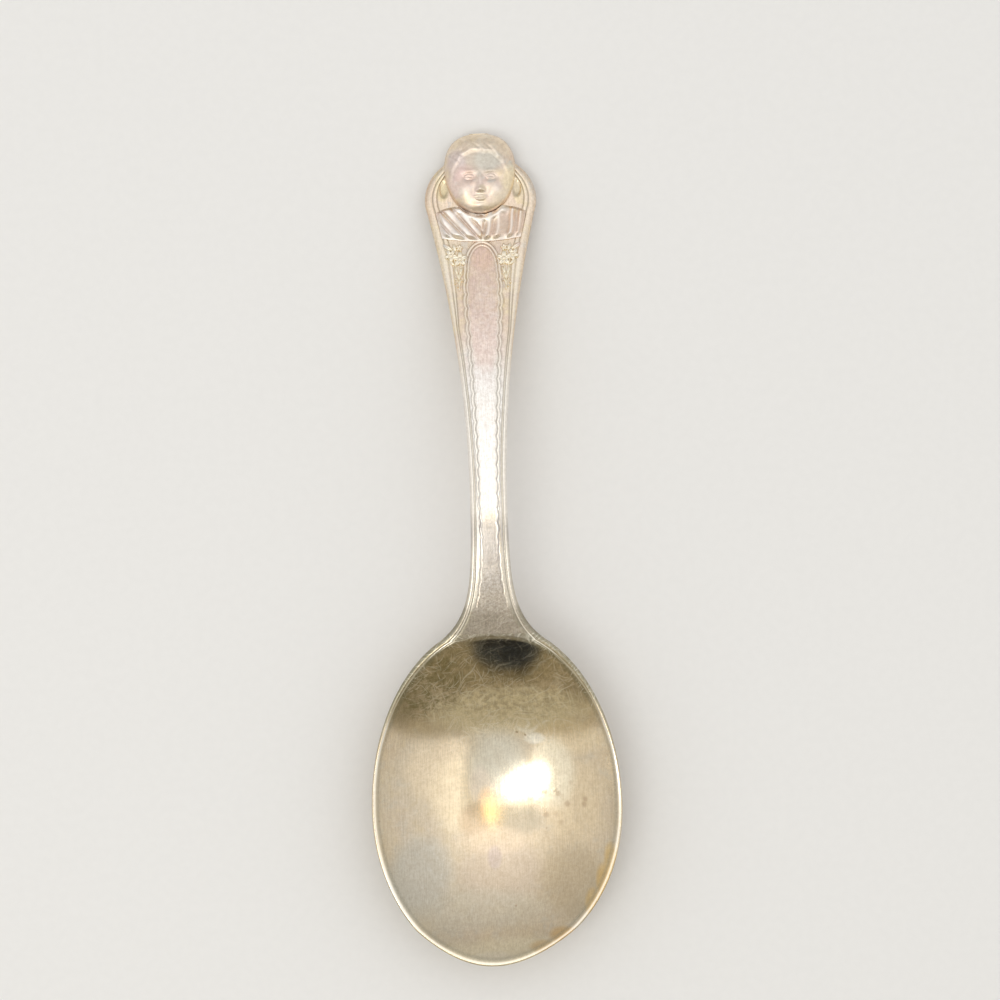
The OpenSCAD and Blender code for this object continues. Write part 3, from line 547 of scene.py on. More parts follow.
def makeBowl():  # rings from the middle of the hollow to the edge, round the rim and back below
    seamHalf = float(bodyHalf(np.array(seamS)))
    k = np.concatenate([np.linspace(0, 0.74, 12), np.linspace(0.74, 1, 36)[1:]])  # closer at the shoulders
    sides = np.linspace(seamS, joinS, 9)[1:]
    joinAngle = math.acos((joinS - wideS) / spoon["heelLen"])
    upper = np.linspace(joinAngle, math.pi / 2, bowlSet["around"] // 4)[1:]
    lower = np.linspace(math.pi / 2, math.pi, bowlSet["around"] // 4)[1:]
    left = np.concatenate([
        np.stack([-seamHalf * k, np.full(k.size, seamS)], -1),
        np.stack([-bodyHalf(sides), sides], -1),
        np.stack([-spoon["bowlHalf"] * np.sin(upper), wideS + spoon["heelLen"] * np.cos(upper)], -1),
        np.stack([-spoon["bowlHalf"] * np.sin(lower), wideS + spoon["toeLen"] * np.cos(lower)], -1)])
    right = left[-2:0:-1] * np.array([-1, 1])
    edge = np.concatenate([left, right])  # closed outline, anticlockwise from the middle of the seam
    px, ps = edge[:, 0], edge[:, 1]
    lip = 1 / hollowAt(px, ps)
    inner = np.concatenate([np.linspace(0, 0.92, 44)[1:], np.linspace(0.92, 1.0, 18)[1:]])
    outer = 1 - (1 - np.linspace(0, 1, 30)[1:]) ** 1.5
    share = np.concatenate([inner[:, None] * lip, lip + (1 - lip) * outer[:, None]])
    x, s = px * share, wideS + (ps - wideS) * share
    z, r, bevel, lines, gap = bowlTop(x, s)
    seamLine = ps > seamS - 1e-6
    kept = 1 - bowlSet["inset"] / np.hypot(px, ps - wideS)
    insetX = px * np.where(seamLine, 1 - bowlSet["inset"] / seamHalf, kept)
    insetS = np.where(seamLine, ps, wideS + (ps - wideS) * kept)
    back = np.linspace(1, 0, bowlSet["backRings"])[:-1, None]
    bx, bs = insetX * back, wideS + (insetS - wideS) * back
    bz = np.maximum(0, spine(bs) - bowlThick(bx, bs))
    turn = np.array(bowlSet["sideTurns"])[:, None]  # the side of the rim, rounded under
    sx, ss = mix(px, insetX, turn ** 2.5), mix(ps, insetS, turn ** 2.5)
    sz = mix(z[-1], bz[0], turn)
    points = place(np.concatenate([x, sx, bx]), np.concatenate([s, ss, bs]), np.concatenate([z, sz, bz]))
    poles = place(np.zeros(2), np.full(2, wideS), np.array([spoon["rimHeight"] - spoon["depth"], 0.0]))
    wide, shoulder = bevelWidth(s), ease((s - wideS - 2) / 10)
    # painted highlight: a bright line just inside the bevel
    light = bell((gap - wide - bowlSet["lightAt"]) / mix(0.15, 0.11, shoulder))
    highlightAndWear = light * (r > 0.98) * mix(0.7, 1, shoulder)
    # painted grey reflection: a grey band beside the bright line
    grey = bell((gap - wide - bowlSet["greyAt"]) / bowlSet["greyHalf"]) * shoulder  # beside the bright line
    # painted shadow: a dark line just inside the lip; painted shade darkening the hollow towards its rim
    lipLine = bell((r - 0.982) / 0.012) * (1 - shoulder)
    shade = 0.32 * ease((r - 0.80) / 0.2) * (r < 1.001) * (1 - shoulder)
    # painted shade on the sloping bevel, strongest at the shoulders
    bevelShade = mix(0.25, 0.95, shoulder) * ease((bevel - 0.1) / 0.3)
    # the two fine lines darken by tarnish and shade
    shadeAndTarnish = np.clip(lines * 0.7 * shoulder + 0.6 * grey + 0.4 * lipLine + shade + bevelShade, 0, 1)
    marks = topMarks(shadeAndTarnish, highlightAndWear, sx.size + bx.size + 2, upper=0.0)
    marks["upper"][-2] = 1.0  # the hollow's own pole
    rings = x.shape[0] + sx.shape[0] + bx.shape[0]
    addPiece("spoonBowl", np.concatenate([points, poles]), dishFaces(rings, edge.shape[0]),
             bowlSilver, "bowl", marks)


makeBowl()

stemSet = {
    "bandAt": [43.0, 47.0, 52.0, 60.0, 82.5, 92.0, 99.0, 103.0, 108.0],
    "band": [0.70, 0.54, 0.42, 0.40, 0.46, 1.10, 0.95, 0.75, 0.5],
    "gap": [0.20, 0.20, 0.19, 0.19, 0.22, 0.60, 0.60, 0.45, 0.3],
    "drop": [0.595, 0.46, 0.36, 0.34, 0.32, 0.34, 0.36, 0.34, 0.25],
    "grooveDepth": 0.06, "grooveHalf": 0.065, "beadHeight": 0.04, "inset": 0.25, "steepest": 2.2,
    "crownFrom": 0.9, "underWide": 0.5, "underRound": 0.28, "leastThick": 0.15,
    "waveFootS": 46.0, "waveSpread": 0.09, "waveHigh": 0.13, "waveIn": 0.06,
    "waveHalf": 0.07, "waveDepth": 0.04,
    "recessX": 4.75, "recessS": 100.75, "recessWide": 0.62, "recessLong": 1.15, "recessDepth": 0.22,
}
panelSet = {
    "height": 0.175, "roll": 0.2, "lip": 0.04, "fadeLen": 9.0, "arch": 3.3, "half": 2.05, "share": 0.46,
    "scallop": 0.2, "scallopLen": 1.85, "footRound": 1.2,
    "skirt": 0.62, "skirtFromS": 54.0, "beadWide": 0.37, "beadHeight": 0.10, "lineDepth": 0.03, "sunk": 0.1,
}
archS = panelTopS - panelSet["arch"]


def alongStem(name, s):  # a setting of the stem's sides, read between its stations
    return np.interp(s, stemSet["bandAt"], stemSet[name])


def scallops(s):  # rounded waves from 0 to 1: the size of a sine, to the power 0.8
    return np.abs(np.sin(np.pi * (s - panelFootS) / panelSet["scallopLen"])) ** 0.8


def panelHalf(s, grown=0.0):  # a share of the stem's width plus scallops, with a round top and a blunt foot
    arch = np.clip((s - archS) / (panelSet["arch"] + grown), 0, 0.999)
    r = np.maximum(arch, np.clip((panelFootS + panelSet["footRound"] - s) / panelSet["footRound"], 0, 0.97))
    fade = ease((s - panelFootS - 1.0) / 4) * (1 - ease((s - archS + 1.5) / 1.5))
    straight = np.minimum(panelSet["share"] * stemHalf(s), panelSet["half"])
    return np.sqrt(1 - r ** 2) * (straight + panelSet["scallop"] * scallops(s) * fade + grown)


def panelGap(x, s):  # distance inside the panel's edge, round the arch by an ellipse's gradient
    half = panelHalf(np.minimum(s, archS))
    up = np.maximum(0, s - archS) / panelSet["arch"]
    r = np.maximum(np.hypot(x / half, up), 1e-3)
    slope = np.hypot(x / half ** 2, up / panelSet["arch"]) / r
    onArch = (1 - r) / np.maximum(slope, 0.2)
    return np.minimum(np.where(s < archS, half - np.abs(x), onArch), np.maximum(0.9 * (s - panelFootS), 0))


def makeStem():  # rounded sides, two grooves with a bead between, a flat face, the same columns below
    crownS = headS + stemSet["crownFrom"]
    s = np.concatenate([
        [seamS, seamS + 0.004], np.linspace(seamS + 0.05, neckS, 110, endpoint=False),
        np.linspace(neckS, hemS, 120, endpoint=False), np.linspace(hemS, crownS, 90, endpoint=False),
        crownS + (fullLen - crownS) * np.sin(np.linspace(0, np.pi / 2, 36))])[:, None]
    half = stemHalf(s)
    lean = np.hypot(1, np.gradient(half[:, 0], s[:, 0]))[:, None]
    lean = np.minimum(np.where(s > headS + 0.6, 1.0, lean), stemSet["steepest"])
    band, gap, drop = alongStem("band", s), alongStem("gap", s), alongStem("drop", s)
    fit = np.minimum(1, 0.8 * half / lean / (band + gap + 0.25))
    band, gap = band * fit, gap * fit
    narrow = stemSet["grooveHalf"] * fit
    first = band + narrow * 1.2
    second = first + gap
    level = np.array([-1.1, -0.6, -0.25, 0, 0.25, 0.6, 1.2])
    theta = np.linspace(0, np.pi / 2, 10)[:-1]
    columns = np.concatenate([  # distance from the side
        band * (1 - np.cos(theta)), first + narrow * level,
        mix(first + narrow * 1.3, second - narrow * 1.3, np.array([0.1, 0.35, 0.65, 0.9])),
        second + narrow * level,
        mix(second + narrow * 1.4, half / lean, np.linspace(0, 1, 37)[:-1])], axis=1)
    x = half - columns * lean
    row = s + 0 * columns
    t = np.clip(1 - columns / band, 0, 1)
    groove = bell((columns - first) / narrow) + bell((columns - second) / narrow)
    bead = np.sin(np.pi * np.clip((columns - first) / gap, 0, 1))
    fade = 1 - ease((s - headS - 0.2) / 0.6)
    almond = np.hypot((x - stemSet["recessX"]) / stemSet["recessWide"],
                      (row - stemSet["recessS"]) / stemSet["recessLong"])
    sunk = ease(1.25 - almond ** 2)
    ground = ease((row - panelTopS + 6.6) / 1.5) * (row < hemS) * (columns > second)
    share = panelSet["share"] + stemSet["waveSpread"] * ease((panelFootS + 1 - row) / 7)
    line = share * half + stemSet["waveHigh"] * scallops(row) - stemSet["waveIn"]
    beyond = x - line  # outside a wavy line that runs on below the panel
    shown = ease((row - stemSet["waveFootS"]) / 1.2) * (1 - ease((row - panelFootS - 1) / 3))
    wavy = bell(beyond / stemSet["waveHalf"]) * shown
    relief = (stemSet["beadHeight"] * bead - stemSet["grooveDepth"] * groove) * fade - drop * rounded(t)
    relief = relief - stemSet["recessDepth"] * sunk - stemSet["waveDepth"] * wavy
    near = 1 - ease((row - seamS) / 15)  # the bowl's rim runs on up the neck
    beside = columns - band
    # painted shade on the neck's bevel and a painted grey band, carried on from the bowl's rim; grooves, wavy
    # line, almond and ground darken by tarnish and shade
    rim = 0.95 * ease((t - 0.1) / 0.3) + 0.6 * bell((beside - bowlSet["greyAt"]) / bowlSet["greyHalf"])
    dark = mix(0.85, 0.7, near) * groove * fade + near * rim
    shadeAndTarnish = np.clip(dark + 0.35 * sunk + 0.12 * ground + 0.6 * wavy, 0, 1)
    # painted highlight on the band's rounded edge and the bead, a pale painted strip outside the wavy line,
    # and near the seam the bowl's painted bright line
    bright = bell((t - 0.35) / 0.3) * (columns > 0) * 0.8 + bead * 0.5
    bright = bright * (1 - 0.5 * ease((row - 90) / 4))
    pale = 0.42 * ease((beyond - 0.05) / 0.08) * shown * (1 - np.clip(groove, 0, 1))  # outside the wavy line
    highlightAndWear = np.clip(mix(bright, bell((beside - bowlSet["lightAt"]) / 0.11), near) + pale, 0, 1) * fade
    middle = np.zeros((s.size, 1))

    def whole(a, centre=middle, side=1):  # mirrored halves make whole rows from left to right
        return np.concatenate([side * a, centre, a[:, ::-1]], axis=1)

    fullX = whole(x, side=-1)
    fullS = s + 0 * fullX
    top = stemFace(fullX, fullS) + whole(relief)
    lowX = fullX * (1 - np.minimum(stemSet["inset"] / np.maximum(half, 0.3), 0.25))
    under = np.clip(1 - whole(columns, half / lean) / stemSet["underWide"], 0, 1)
    low = spine(fullS) - stemThick(lowX, fullS) + stemSet["underRound"] * rounded(under)
    low = np.maximum(0, np.minimum(low, top - stemSet["leastThick"]))
    points = np.concatenate([place(fullX, fullS, top), place(lowX, fullS, low)])
    marks = topMarks(whole(shadeAndTarnish), whole(highlightAndWear), fullX.size, upper=0.0)
    addPiece("spoonStem", points, plateFaces(s.size, fullX.shape[1]),
             stemSilver, "stem", marks)


makeStem()

dropSet = {
    "fore": 8.5, "aft": 7.5, "half": 2.8, "thick": 0.7, "edge": 0.12, "sunk": 0.03,
    "rows": 70, "cols": 41,
}


def makeHeelDrop():  # a tongue on the back of the joint: round outline, domed across and along
    v = np.linspace(0, np.pi, dropSet["rows"])
    s = mix(seamS - dropSet["fore"], seamS + dropSet["aft"], (1 - np.cos(v)) / 2)[:, None]
    q = -np.cos(np.linspace(0, np.pi, dropSet["cols"]))[None, :]
    r = np.where(s < seamS, (seamS - s) / dropSet["fore"], (s - seamS) / dropSet["aft"])
    half = dropSet["half"] * np.sqrt(1 - np.minimum(0.995, r) ** 2)
    x, row = q * half, s + 0 * q
    seat = spine(row) - np.maximum(bowlThick(x, row), stemThick(x, row))
    dome = (half / dropSet["half"]) * np.sqrt(np.maximum(0, 1 - q * q))
    low = seat - spoon["solder"] - dropSet["thick"] * mix(dropSet["edge"], 1, dome)
    points = platePoints(x, row, seat + dropSet["sunk"], low)
    clear = np.zeros(points.shape[0])
    addPiece("heelDrop", points, plateFaces(dropSet["rows"], dropSet["cols"]),
             stemSilver, "heel_drop", {"shadeAndTarnish": clear, "highlightAndWear": clear, "upper": clear})


makeHeelDrop()


def makePanel():  # follows the stem's face, rolled over at its scalloped edge, with a bead on a thin skirt
    s = np.concatenate([np.linspace(panelFootS, archS - 1, 330, endpoint=False),
                        np.linspace(archS - 1, panelTopS, 80, endpoint=False),
                        panelTopS + panelSet["skirt"] * np.sin(np.linspace(0, np.pi / 2, 20))])[:, None]
    room = stemHalf(s) - alongStem("band", s) - alongStem("gap", s)
    skirt = np.clip(room - 0.15 - panelHalf(np.minimum(s, archS)), 0, panelSet["skirt"])
    skirt = skirt * ease((s - panelSet["skirtFromS"]) / 8)
    half = panelHalf(s, skirt)
    q = np.linspace(-1, 1, 99)[None, :]
    x, row = q * half, s + 0 * q
    gap = panelGap(x, row)
    grow = ease((row - panelFootS) / panelSet["fadeLen"])
    inside = np.clip(gap / panelSet["roll"], 0, 1)
    roll = np.sqrt(np.maximum(0, 1 - (1 - inside) ** 2))
    lip = bell((gap - 0.22) / 0.08) * grow
    line = bell((gap - 0.40) / 0.05) * ease((row - panelTopS + 9) / 6)
    beadWide = np.maximum(np.minimum(panelSet["beadWide"], 0.72 * skirt), 0.02)
    present = ease((skirt - 0.15) / 0.2)
    across = np.clip(-2 * gap / beadWide - 1, -1, 1)
    bead = panelSet["beadHeight"] * present * np.sqrt(1 - across ** 2)
    flat = 0.024 * ease((gap + skirt) / 0.1) * ease((row - panelFootS) / 4) - 0.012
    lifted = (spoon["solder"] + panelSet["height"] * roll) * grow
    face = stemFace(x, row)
    top = face + np.where(gap > 0, np.maximum(lifted * ease(inside * 8), flat), flat + bead)
    top = top + panelSet["lip"] * lip - panelSet["lineDepth"] * line
    # painted shade with tarnish along the panel's edge, at the foot of the skirt's bead and in the engraved
    # line
    edge = bell(gap / 0.06) * grow + 0.8 * bell((gap + beadWide + 0.02) / 0.06) * present
    shadeAndTarnish = np.clip(0.6 * edge + 0.3 * line * grow, 0, 1)
    # painted highlight on the rolled lip and on the bead
    highlightAndWear = np.clip(0.6 * lip + 0.55 * (bead / panelSet["beadHeight"]) ** 2 * (gap < 0), 0, 1)
    points = platePoints(x, row, top, face - panelSet["sunk"])
    addPiece("namePanel", points, plateFaces(s.size, q.size),
             stemSilver, "name_panel", topMarks(shadeAndTarnish, highlightAndWear, x.size))


makePanel()

spraySet = {
    "length": 6.4, "height": 0.42, "rows": 220, "cols": 100, "ground": -0.16, "sunk": 0.1,
    "petalAt": 0.58, "petalLong": 0.50, "petalWide": 0.36, "boss": 0.26, "stalkHalf": 0.10,
    # flowers: out from the middle, up from the point, half width, turn
    "flowers": [(2.86, 4.42, 0.95, 0.3), (4.02, 4.92, 0.80, 0.9), (2.90, 5.86, 0.46, 0.5)],
    # leaves: out, up, half width, half length, turn
    "leaves": [
        (4.45, 5.98, 0.32, 0.80, -0.98), (3.55, 5.90, 0.27, 0.60, -0.30), (3.95, 3.92, 0.24, 0.58, -0.8),
        (2.74, 2.85, 0.17, 0.55, 0.35), (3.42, 2.85, 0.17, 0.55, -0.35), (3.02, 0.55, 0.15, 0.42, 0.0)],
    # stalks: from out, up, to out, up
    "stalks": [
        (2.78, 4.0, 3.02, 2.0), (3.62, 4.4, 3.10, 2.0), (3.05, 2.1, 3.02, 0.7), (2.70, 2.5, 3.02, 1.75),
        (3.42, 2.5, 3.08, 1.75), (2.80, 1.7, 3.02, 1.0), (3.34, 1.7, 3.06, 1.0)],
    # beads: out, up, half width
    "beads": [(3.58, 1.25, 0.15), (3.44, 1.75, 0.13), (2.72, 1.55, 0.12), (3.30, 0.75, 0.12)],
}


def addDome(h, r, foot, rise, vein=0.0):  # the higher of h and a dome: foot plus the root of 1 minus r
    return np.maximum(h, np.where(r < 1, foot + rise * np.sqrt(np.maximum(0, 1 - r)) - vein, -1))


def turned(dx, dy, angle):  # the same step in axes turned by an angle
    return dx * math.cos(angle) + dy * math.sin(angle), dy * math.cos(angle) - dx * math.sin(angle)


def sprayHeight(a, b):  # the highest of petals, bosses, leaves, stalks and beads at a out, b up
    h = np.full(a.shape, -1.0)
    for fx, fy, size, turn in spraySet["flowers"]:
        for angle in turn + np.arange(5) * 2 * math.pi / 5:
            along, across = turned(a - fx, b - fy, angle)
            along = (along / size - spraySet["petalAt"]) / spraySet["petalLong"]
            across = across / size / spraySet["petalWide"]
            h = addDome(h, along ** 2 + across ** 2, 0.20, 0.62, 0.18 * bell(across / 0.25))
        h = addDome(h, ((a - fx) ** 2 + (b - fy) ** 2) / (spraySet["boss"] * size) ** 2, 0.55, 0.45)
    for lx, ly, wide, long, turn in spraySet["leaves"]:
        u, v = turned(a - lx, b - ly, turn)
        h = addDome(h, np.abs(u) / wide + (v / long) ** 2, 0.15, 0.55, 0.2 * bell(u / wide / 0.22))
    for x0, y0, x1, y1 in spraySet["stalks"]:
        ex, ey = x1 - x0, y1 - y0
        t = np.clip(((a - x0) * ex + (b - y0) * ey) / (ex * ex + ey * ey), 0, 1)
        r = np.hypot(a - x0 - t * ex, b - y0 - t * ey) / spraySet["stalkHalf"]
        h = addDome(h, r * r, 0.12, 0.35)
    for bx, by, size in spraySet["beads"]:
        h = addDome(h, ((a - bx) ** 2 + (b - by) ** 2) / size ** 2, 0.10, 0.5)
    return h


def makeSpray(side, name, node):  # a strip between the panel and the threads, raised by the spray's height
    b = np.linspace(0.1, spraySet["length"] - 0.02, spraySet["rows"])[:, None]
    f = np.linspace(0, 1, spraySet["cols"])[None, ::side]  # left to right on either side
    s = panelTopS - spraySet["length"] + b
    out = mix(panelHalf(s) + 0.05, stemHalf(s) - 0.75, f)
    up, row, x = b + 0 * f, s + 0 * f, side * out
    h = sprayHeight(out, up)
    raised = np.where(h > 0, h, spraySet["ground"])
    face = stemFace(x, row) + spoon["solder"] * 0.4
    points = platePoints(x, row, face + spraySet["height"] * raised, face - spraySet["sunk"])
    # painted shade with tarnish on the low ground, painted highlight with wear on the raised petals, leaves,
    # stalks and beads
    marks = topMarks(0.24 * np.clip(1 - h / 0.2, 0, 1), 0.65 * np.clip((h - 0.22) / 0.4, 0, 1), x.size)
    addPiece(name, points, plateFaces(spraySet["rows"], spraySet["cols"]),
             reliefSilver, node, marks)


makeSpray(-1, "flowerSprayLeft", "flower_spray_left")
makeSpray(1, "flowerSprayRight", "flower_spray_right")

headSet = {
    "half": 4.58, "crown": 4.9, "chin": 5.6, "dome": 1.75, "edge": 0.3, "hair": 0.17, "sunk": 0.03,
    "around": 240, "rings": 84, "backRings": 9,
    "faceMid": -1.45, "faceHalf": 3.7, "faceUp": 4.05, "faceDown": 4.2,
    # a plain face of textbook proportions: eyes just below the middle of the head, nose and mouth by thirds
    # below them
    "eyeX": 1.38, "eyeUp": -0.75, "noseUp": -2.55, "mouthUp": -3.50, "chinUp": -4.55,
}


def headRelief(u, v, r):  # u across and v up in mm from the head's middle, r is 1 on the outline
    eyeX, eyeUp, noseUp, mouthUp = [headSet[k] for k in ("eyeX", "eyeUp", "noseUp", "mouthUp")]
    au = np.abs(u)

    def bump(tall, a, wide, b, high):  # a soft swelling, or a hollow, at a to either side and b up
        return tall * bell((au - a) / wide) * bell((v - b) / high)

    z = headSet["edge"] + headSet["dome"] * np.maximum(0, 1 - r ** 3.0) ** 0.55
    z = z + np.maximum(0, 1 - r ** 6) * (
        bump(0.10, 1.35, 0.95, eyeUp + 0.72, 0.34)  # brow
        + bump(-0.30, eyeX, 0.85, eyeUp, 0.52)  # sockets
        + bump(0.26, 2.05, 0.95, -2.45, 1.05)  # cheeks
        + bump(0.22, 0, 0.85, headSet["chinUp"], 0.55)  # chin
        + bump(-0.08, 0, 0.7, mouthUp - 0.55, 0.2)  # under the lip
        + bump(-0.10, 0.95, 0.3, noseUp - 0.15, 0.5))  # beside the nose
    lid = np.maximum(0, 1 - ((au - eyeX) / 0.66) ** 2 - ((v - eyeUp) / 0.36) ** 2)
    z = z + 0.24 * np.sqrt(lid)  # eyeballs
    arc = eyeUp + 0.36 * np.sqrt(np.maximum(0, 1 - ((au - eyeX) / 0.85) ** 2))
    z = z + 0.05 * bell((v - arc - 0.02) / 0.07) * (np.abs(au - eyeX) < 0.8)  # upper lids
    z = z + bump(-0.07, eyeX, 0.5, eyeUp - 0.06, 0.06)  # line between the lids
    ramp = np.clip((eyeUp + 0.35 - v) / (eyeUp + 0.35 - noseUp), 0, 1)
    bridge = (0.10 + 0.28 * ramp ** 1.5) * bell(u / (0.30 + 0.16 * ramp))
    z = z + bridge * ease((eyeUp + 0.75 - v) / 0.6) * ease((v - noseUp + 0.5) / 0.8)  # nose
    z = z + bump(0.15, 0, 0.40, noseUp + 0.18, 0.34)  # tip of the nose
    z = z + bump(0.09, 0.48, 0.22, noseUp + 0.06, 0.26)  # wings of the nose
    mouth = mouthUp + 0.07 * (u / 0.95) ** 2
    upper, lower = np.maximum(0, 1 - (u / 1.08) ** 2), np.maximum(0, 1 - (u / 0.86) ** 2)  # lips taper
    bow = 1 - 0.3 * bell(u / 0.14)
    z = z + 0.13 * bow * upper ** 0.7 * bell((v - mouth - 0.17 * upper) / (0.06 + 0.11 * upper))  # upper lip
    z = z + 0.16 * lower ** 0.7 * bell((v - mouth + 0.20 * lower) / (0.06 + 0.13 * lower))  # lower lip
    z = z - 0.10 * bell((v - mouth) / 0.065) * upper ** 0.5  # line of the mouth
    # short hair: a smooth cap outside the face's oval, with a wavy tuft over the forehead and faint strands
    up = v - headSet["faceMid"]
    swing = np.arctan2(u, up + 1.2)
    wave = 0.024 * np.sin(9 * swing + 1.1) + 0.014 * np.sin(17 * swing)
    faceR = np.hypot(u / headSet["faceHalf"], up / np.where(up > 0, headSet["faceUp"], headSet["faceDown"]))
    faceR = faceR + wave * ease((up - 1) / 2)
    nape, brow = ease((v + 2.6) / 1.2), ease((up - 2.2) / 1.0)
    cap = ease((faceR - 0.93) / 0.16) * nape
    curl = swing + 0.10 * np.sin(2.6 * up + 4 * swing)
    locks = (np.sin(21 * curl) + 0.6 * np.sin(37 * curl + 1.7 * up)) * ease((up - 0.4) / 2.0)
    tuft = bell((faceR - 1.10 - 0.02 * np.sin(23 * swing)) / 0.05) * brow
    strands = (0.028 * locks + 0.045 * tuft) * np.maximum(0, 1 - r ** 8)
    z = z + cap * (headSet["hair"] + strands) * np.maximum(0.15, 1 - r ** 5)
    # painted shade with tarnish in the mouth, lid lines, nose wings, hairline, locks and round the outline
    shadeAndTarnish = np.clip(
        0.65 * bell((v - mouth) / 0.08) * upper ** 0.5 + bump(0.6, eyeX, 0.5, eyeUp - 0.06, 0.08)
        + 0.2 * bell((faceR - 0.95) / 0.04) * nape + bump(0.35, 0.5, 0.2, noseUp - 0.2, 0.14)
        + cap * (0.12 * ease(-locks) + 0.18 * bell((faceR - 1.03) / 0.03) * brow)
        + 0.25 * ease((r - 0.97) / 0.03), 0, 1)
    # painted highlight with wear on the nose, the hair, the tuft and the cheeks
    highlightAndWear = bridge * 1.2 + cap * (0.15 * ease(locks) + 0.25 * tuft) + bump(0.4, 2.05, 0.9, -2.4, 0.9)
    return z, shadeAndTarnish, np.clip(highlightAndWear, 0, 1)


def makeHead():  # rings out to a superellipse outline, and back to the middle on the stem's face
    angle = np.linspace(0, 2 * np.pi, headSet["around"], endpoint=False)
    c, n = np.cos(angle), np.sin(angle)
    power = np.where(n > 0, spoon["crownPower"], 2.0)
    run = np.where(n > 0, headSet["crown"], headSet["chin"])
    radius = ((np.abs(c) / headSet["half"]) ** power + (np.abs(n) / run) ** power) ** (-1 / power)
    ring = np.sin(np.linspace(0, np.pi / 2, headSet["rings"] + 1)[1:])[:, None]
    u, v = ring * radius * c, ring * radius * n
    z, shadeAndTarnish, highlightAndWear = headRelief(u, v, ring + 0 * u)
    top = stemFace(u, headS + v) + spoon["solder"] + z
    back = np.linspace(1, 0, headSet["backRings"])[:-1, None]
    bu, bv = back * radius * c, back * radius * n
    low = stemFace(bu, headS + bv) - headSet["sunk"]
    points = place(np.concatenate([u, bu]), headS + np.concatenate([v, bv]), np.concatenate([top, low]))
    zero = np.zeros((1, 1))
    midZ = spoon["solder"] + headRelief(zero, zero, zero)[0]
    face = stemFace(zero, zero + headS)
    poles = platePoints(zero, zero + headS, face + midZ, face - headSet["sunk"])
    rings = headSet["rings"] + headSet["backRings"] - 1
    addPiece("headRelief", np.concatenate([points, poles]), dishFaces(rings, headSet["around"]),
             reliefSilver, "head", topMarks(shadeAndTarnish, highlightAndWear, bu.size + 2))


makeHead()

collarSet = {
    "height": 0.9, "margin": 0.12, "border": 0.95, "hemLift": 0.5, "topShare": 0.8, "droop": 0.9,
    "sunk": 0.03, "rows": 130, "cols": 220, "middleS": 96.0,
    "leftTurn": 0.86, "leftPitch": 1.12, "leftShift": 0.95,
    # folds of the right half: across, half width, height
    "right": [(0.95, 0.40, 1.0), (2.15, 0.46, 0.75), (3.85, 0.34, 0.95), (5.05, 0.32, 1.0)],
}


def makeCollar():  # gathered cloth: slanting folds that lie over upright ones, and a rolled neckline
    q = np.linspace(-1, 1, collarSet["cols"])[None, :]

    def side(s):
        return stemHalf(s) - collarSet["border"] - collarSet["margin"]

    def pleat(v, pitch):  # broad rounded tops between narrow valleys
        away = np.abs((v / pitch) % 1 - 0.5)
        return 1 - bell(away * pitch / 0.21) - 0.6 * (0.5 - away) ** 2

    def headLow(x):  # the head's lower outline, an ellipse
        chin = headSet["chin"] * np.sqrt(np.maximum(0, 1 - (x / headSet["half"]) ** 2))
        return headS - chin - spoon["solder"]

    first = headLow(q * side(np.array(chinS)))
    shoulder = headS - collarSet["topShare"] * spoon["chinLen"] - collarSet["droop"] * q ** 4
    topS = np.minimum(shoulder, headLow(q * side(first)))
    hem = hemS + collarSet["hemLift"] * q * q
    s = mix(hem, topS, np.linspace(0, 1, collarSet["rows"])[:, None])
    x = q * side(s)
    d, e, m = s - hem, topS - s, s - collarSet["middleS"]
    turn = collarSet["leftTurn"]
    slant = x * math.sin(turn) + m * math.cos(turn) + 0.10 * np.sin(1.3 * x + 0.8 * s)
    leftFold = pleat(slant + collarSet["leftShift"], collarSet["leftPitch"])
    leftFold = leftFold * (0.82 + 0.18 * np.sin(1.7 * x - s))
    upright = x - m * 0.20 + 0.12 * np.sin(1.3 * s)
    rightFold = 0 * upright
    for middle, wide, tall in collarSet["right"]:
        rightFold = np.maximum(rightFold, tall * bell((upright - middle) / wide))
    over = ease((0.45 + 0.14 * m - x) / 0.4)
    fold = mix(rightFold, leftFold, over)
    under = ease((headSet["half"] - 0.6 - np.abs(x)) / 1.2)  # only below the head
    neck = bell((e - 0.55) / 0.50) * under
    slit = bell((e - 0.26 - 0.05 * x) / 0.14) * under * ease((0.9 - x) / 1.0)
    edge = ease((1 - np.abs(q)) * 7) * ease(d / 0.9) * mix(ease((e + 0.05) / 0.4), 1, under)
    body = 0.30 + 0.08 * over + 0.46 * fold * (1 - 0.85 * neck) + 0.54 * neck - 0.34 * slit
    face = stemFace(x, s)
    top = face + spoon["solder"] + collarSet["height"] * (0.10 + body * edge)
    # painted shade in the fold valleys, the neck slit and along the hem
    valley = mix(0.6, 0.35, over) * (1 - ease(fold * 2.4)) * (1 - neck)
    shadeAndTarnish = np.clip(valley + 0.6 * slit + 0.03 * (1 - edge), 0, 1)
    # painted highlight with wear on the fold tops and the neck roll, and a painted highlight along the hem
    worn = (ease((fold - 0.5) / 0.4) * 0.8 + neck - slit) * edge
    highlightAndWear = np.clip(worn + 0.8 * bell((d - 0.2) / 0.35), 0, 1)
    points = platePoints(x, s, top, face - collarSet["sunk"])
    addPiece("drapedCollar", points, plateFaces(collarSet["rows"], collarSet["cols"]),
             reliefSilver, "collar", topMarks(shadeAndTarnish, highlightAndWear, x.size))


makeCollar()

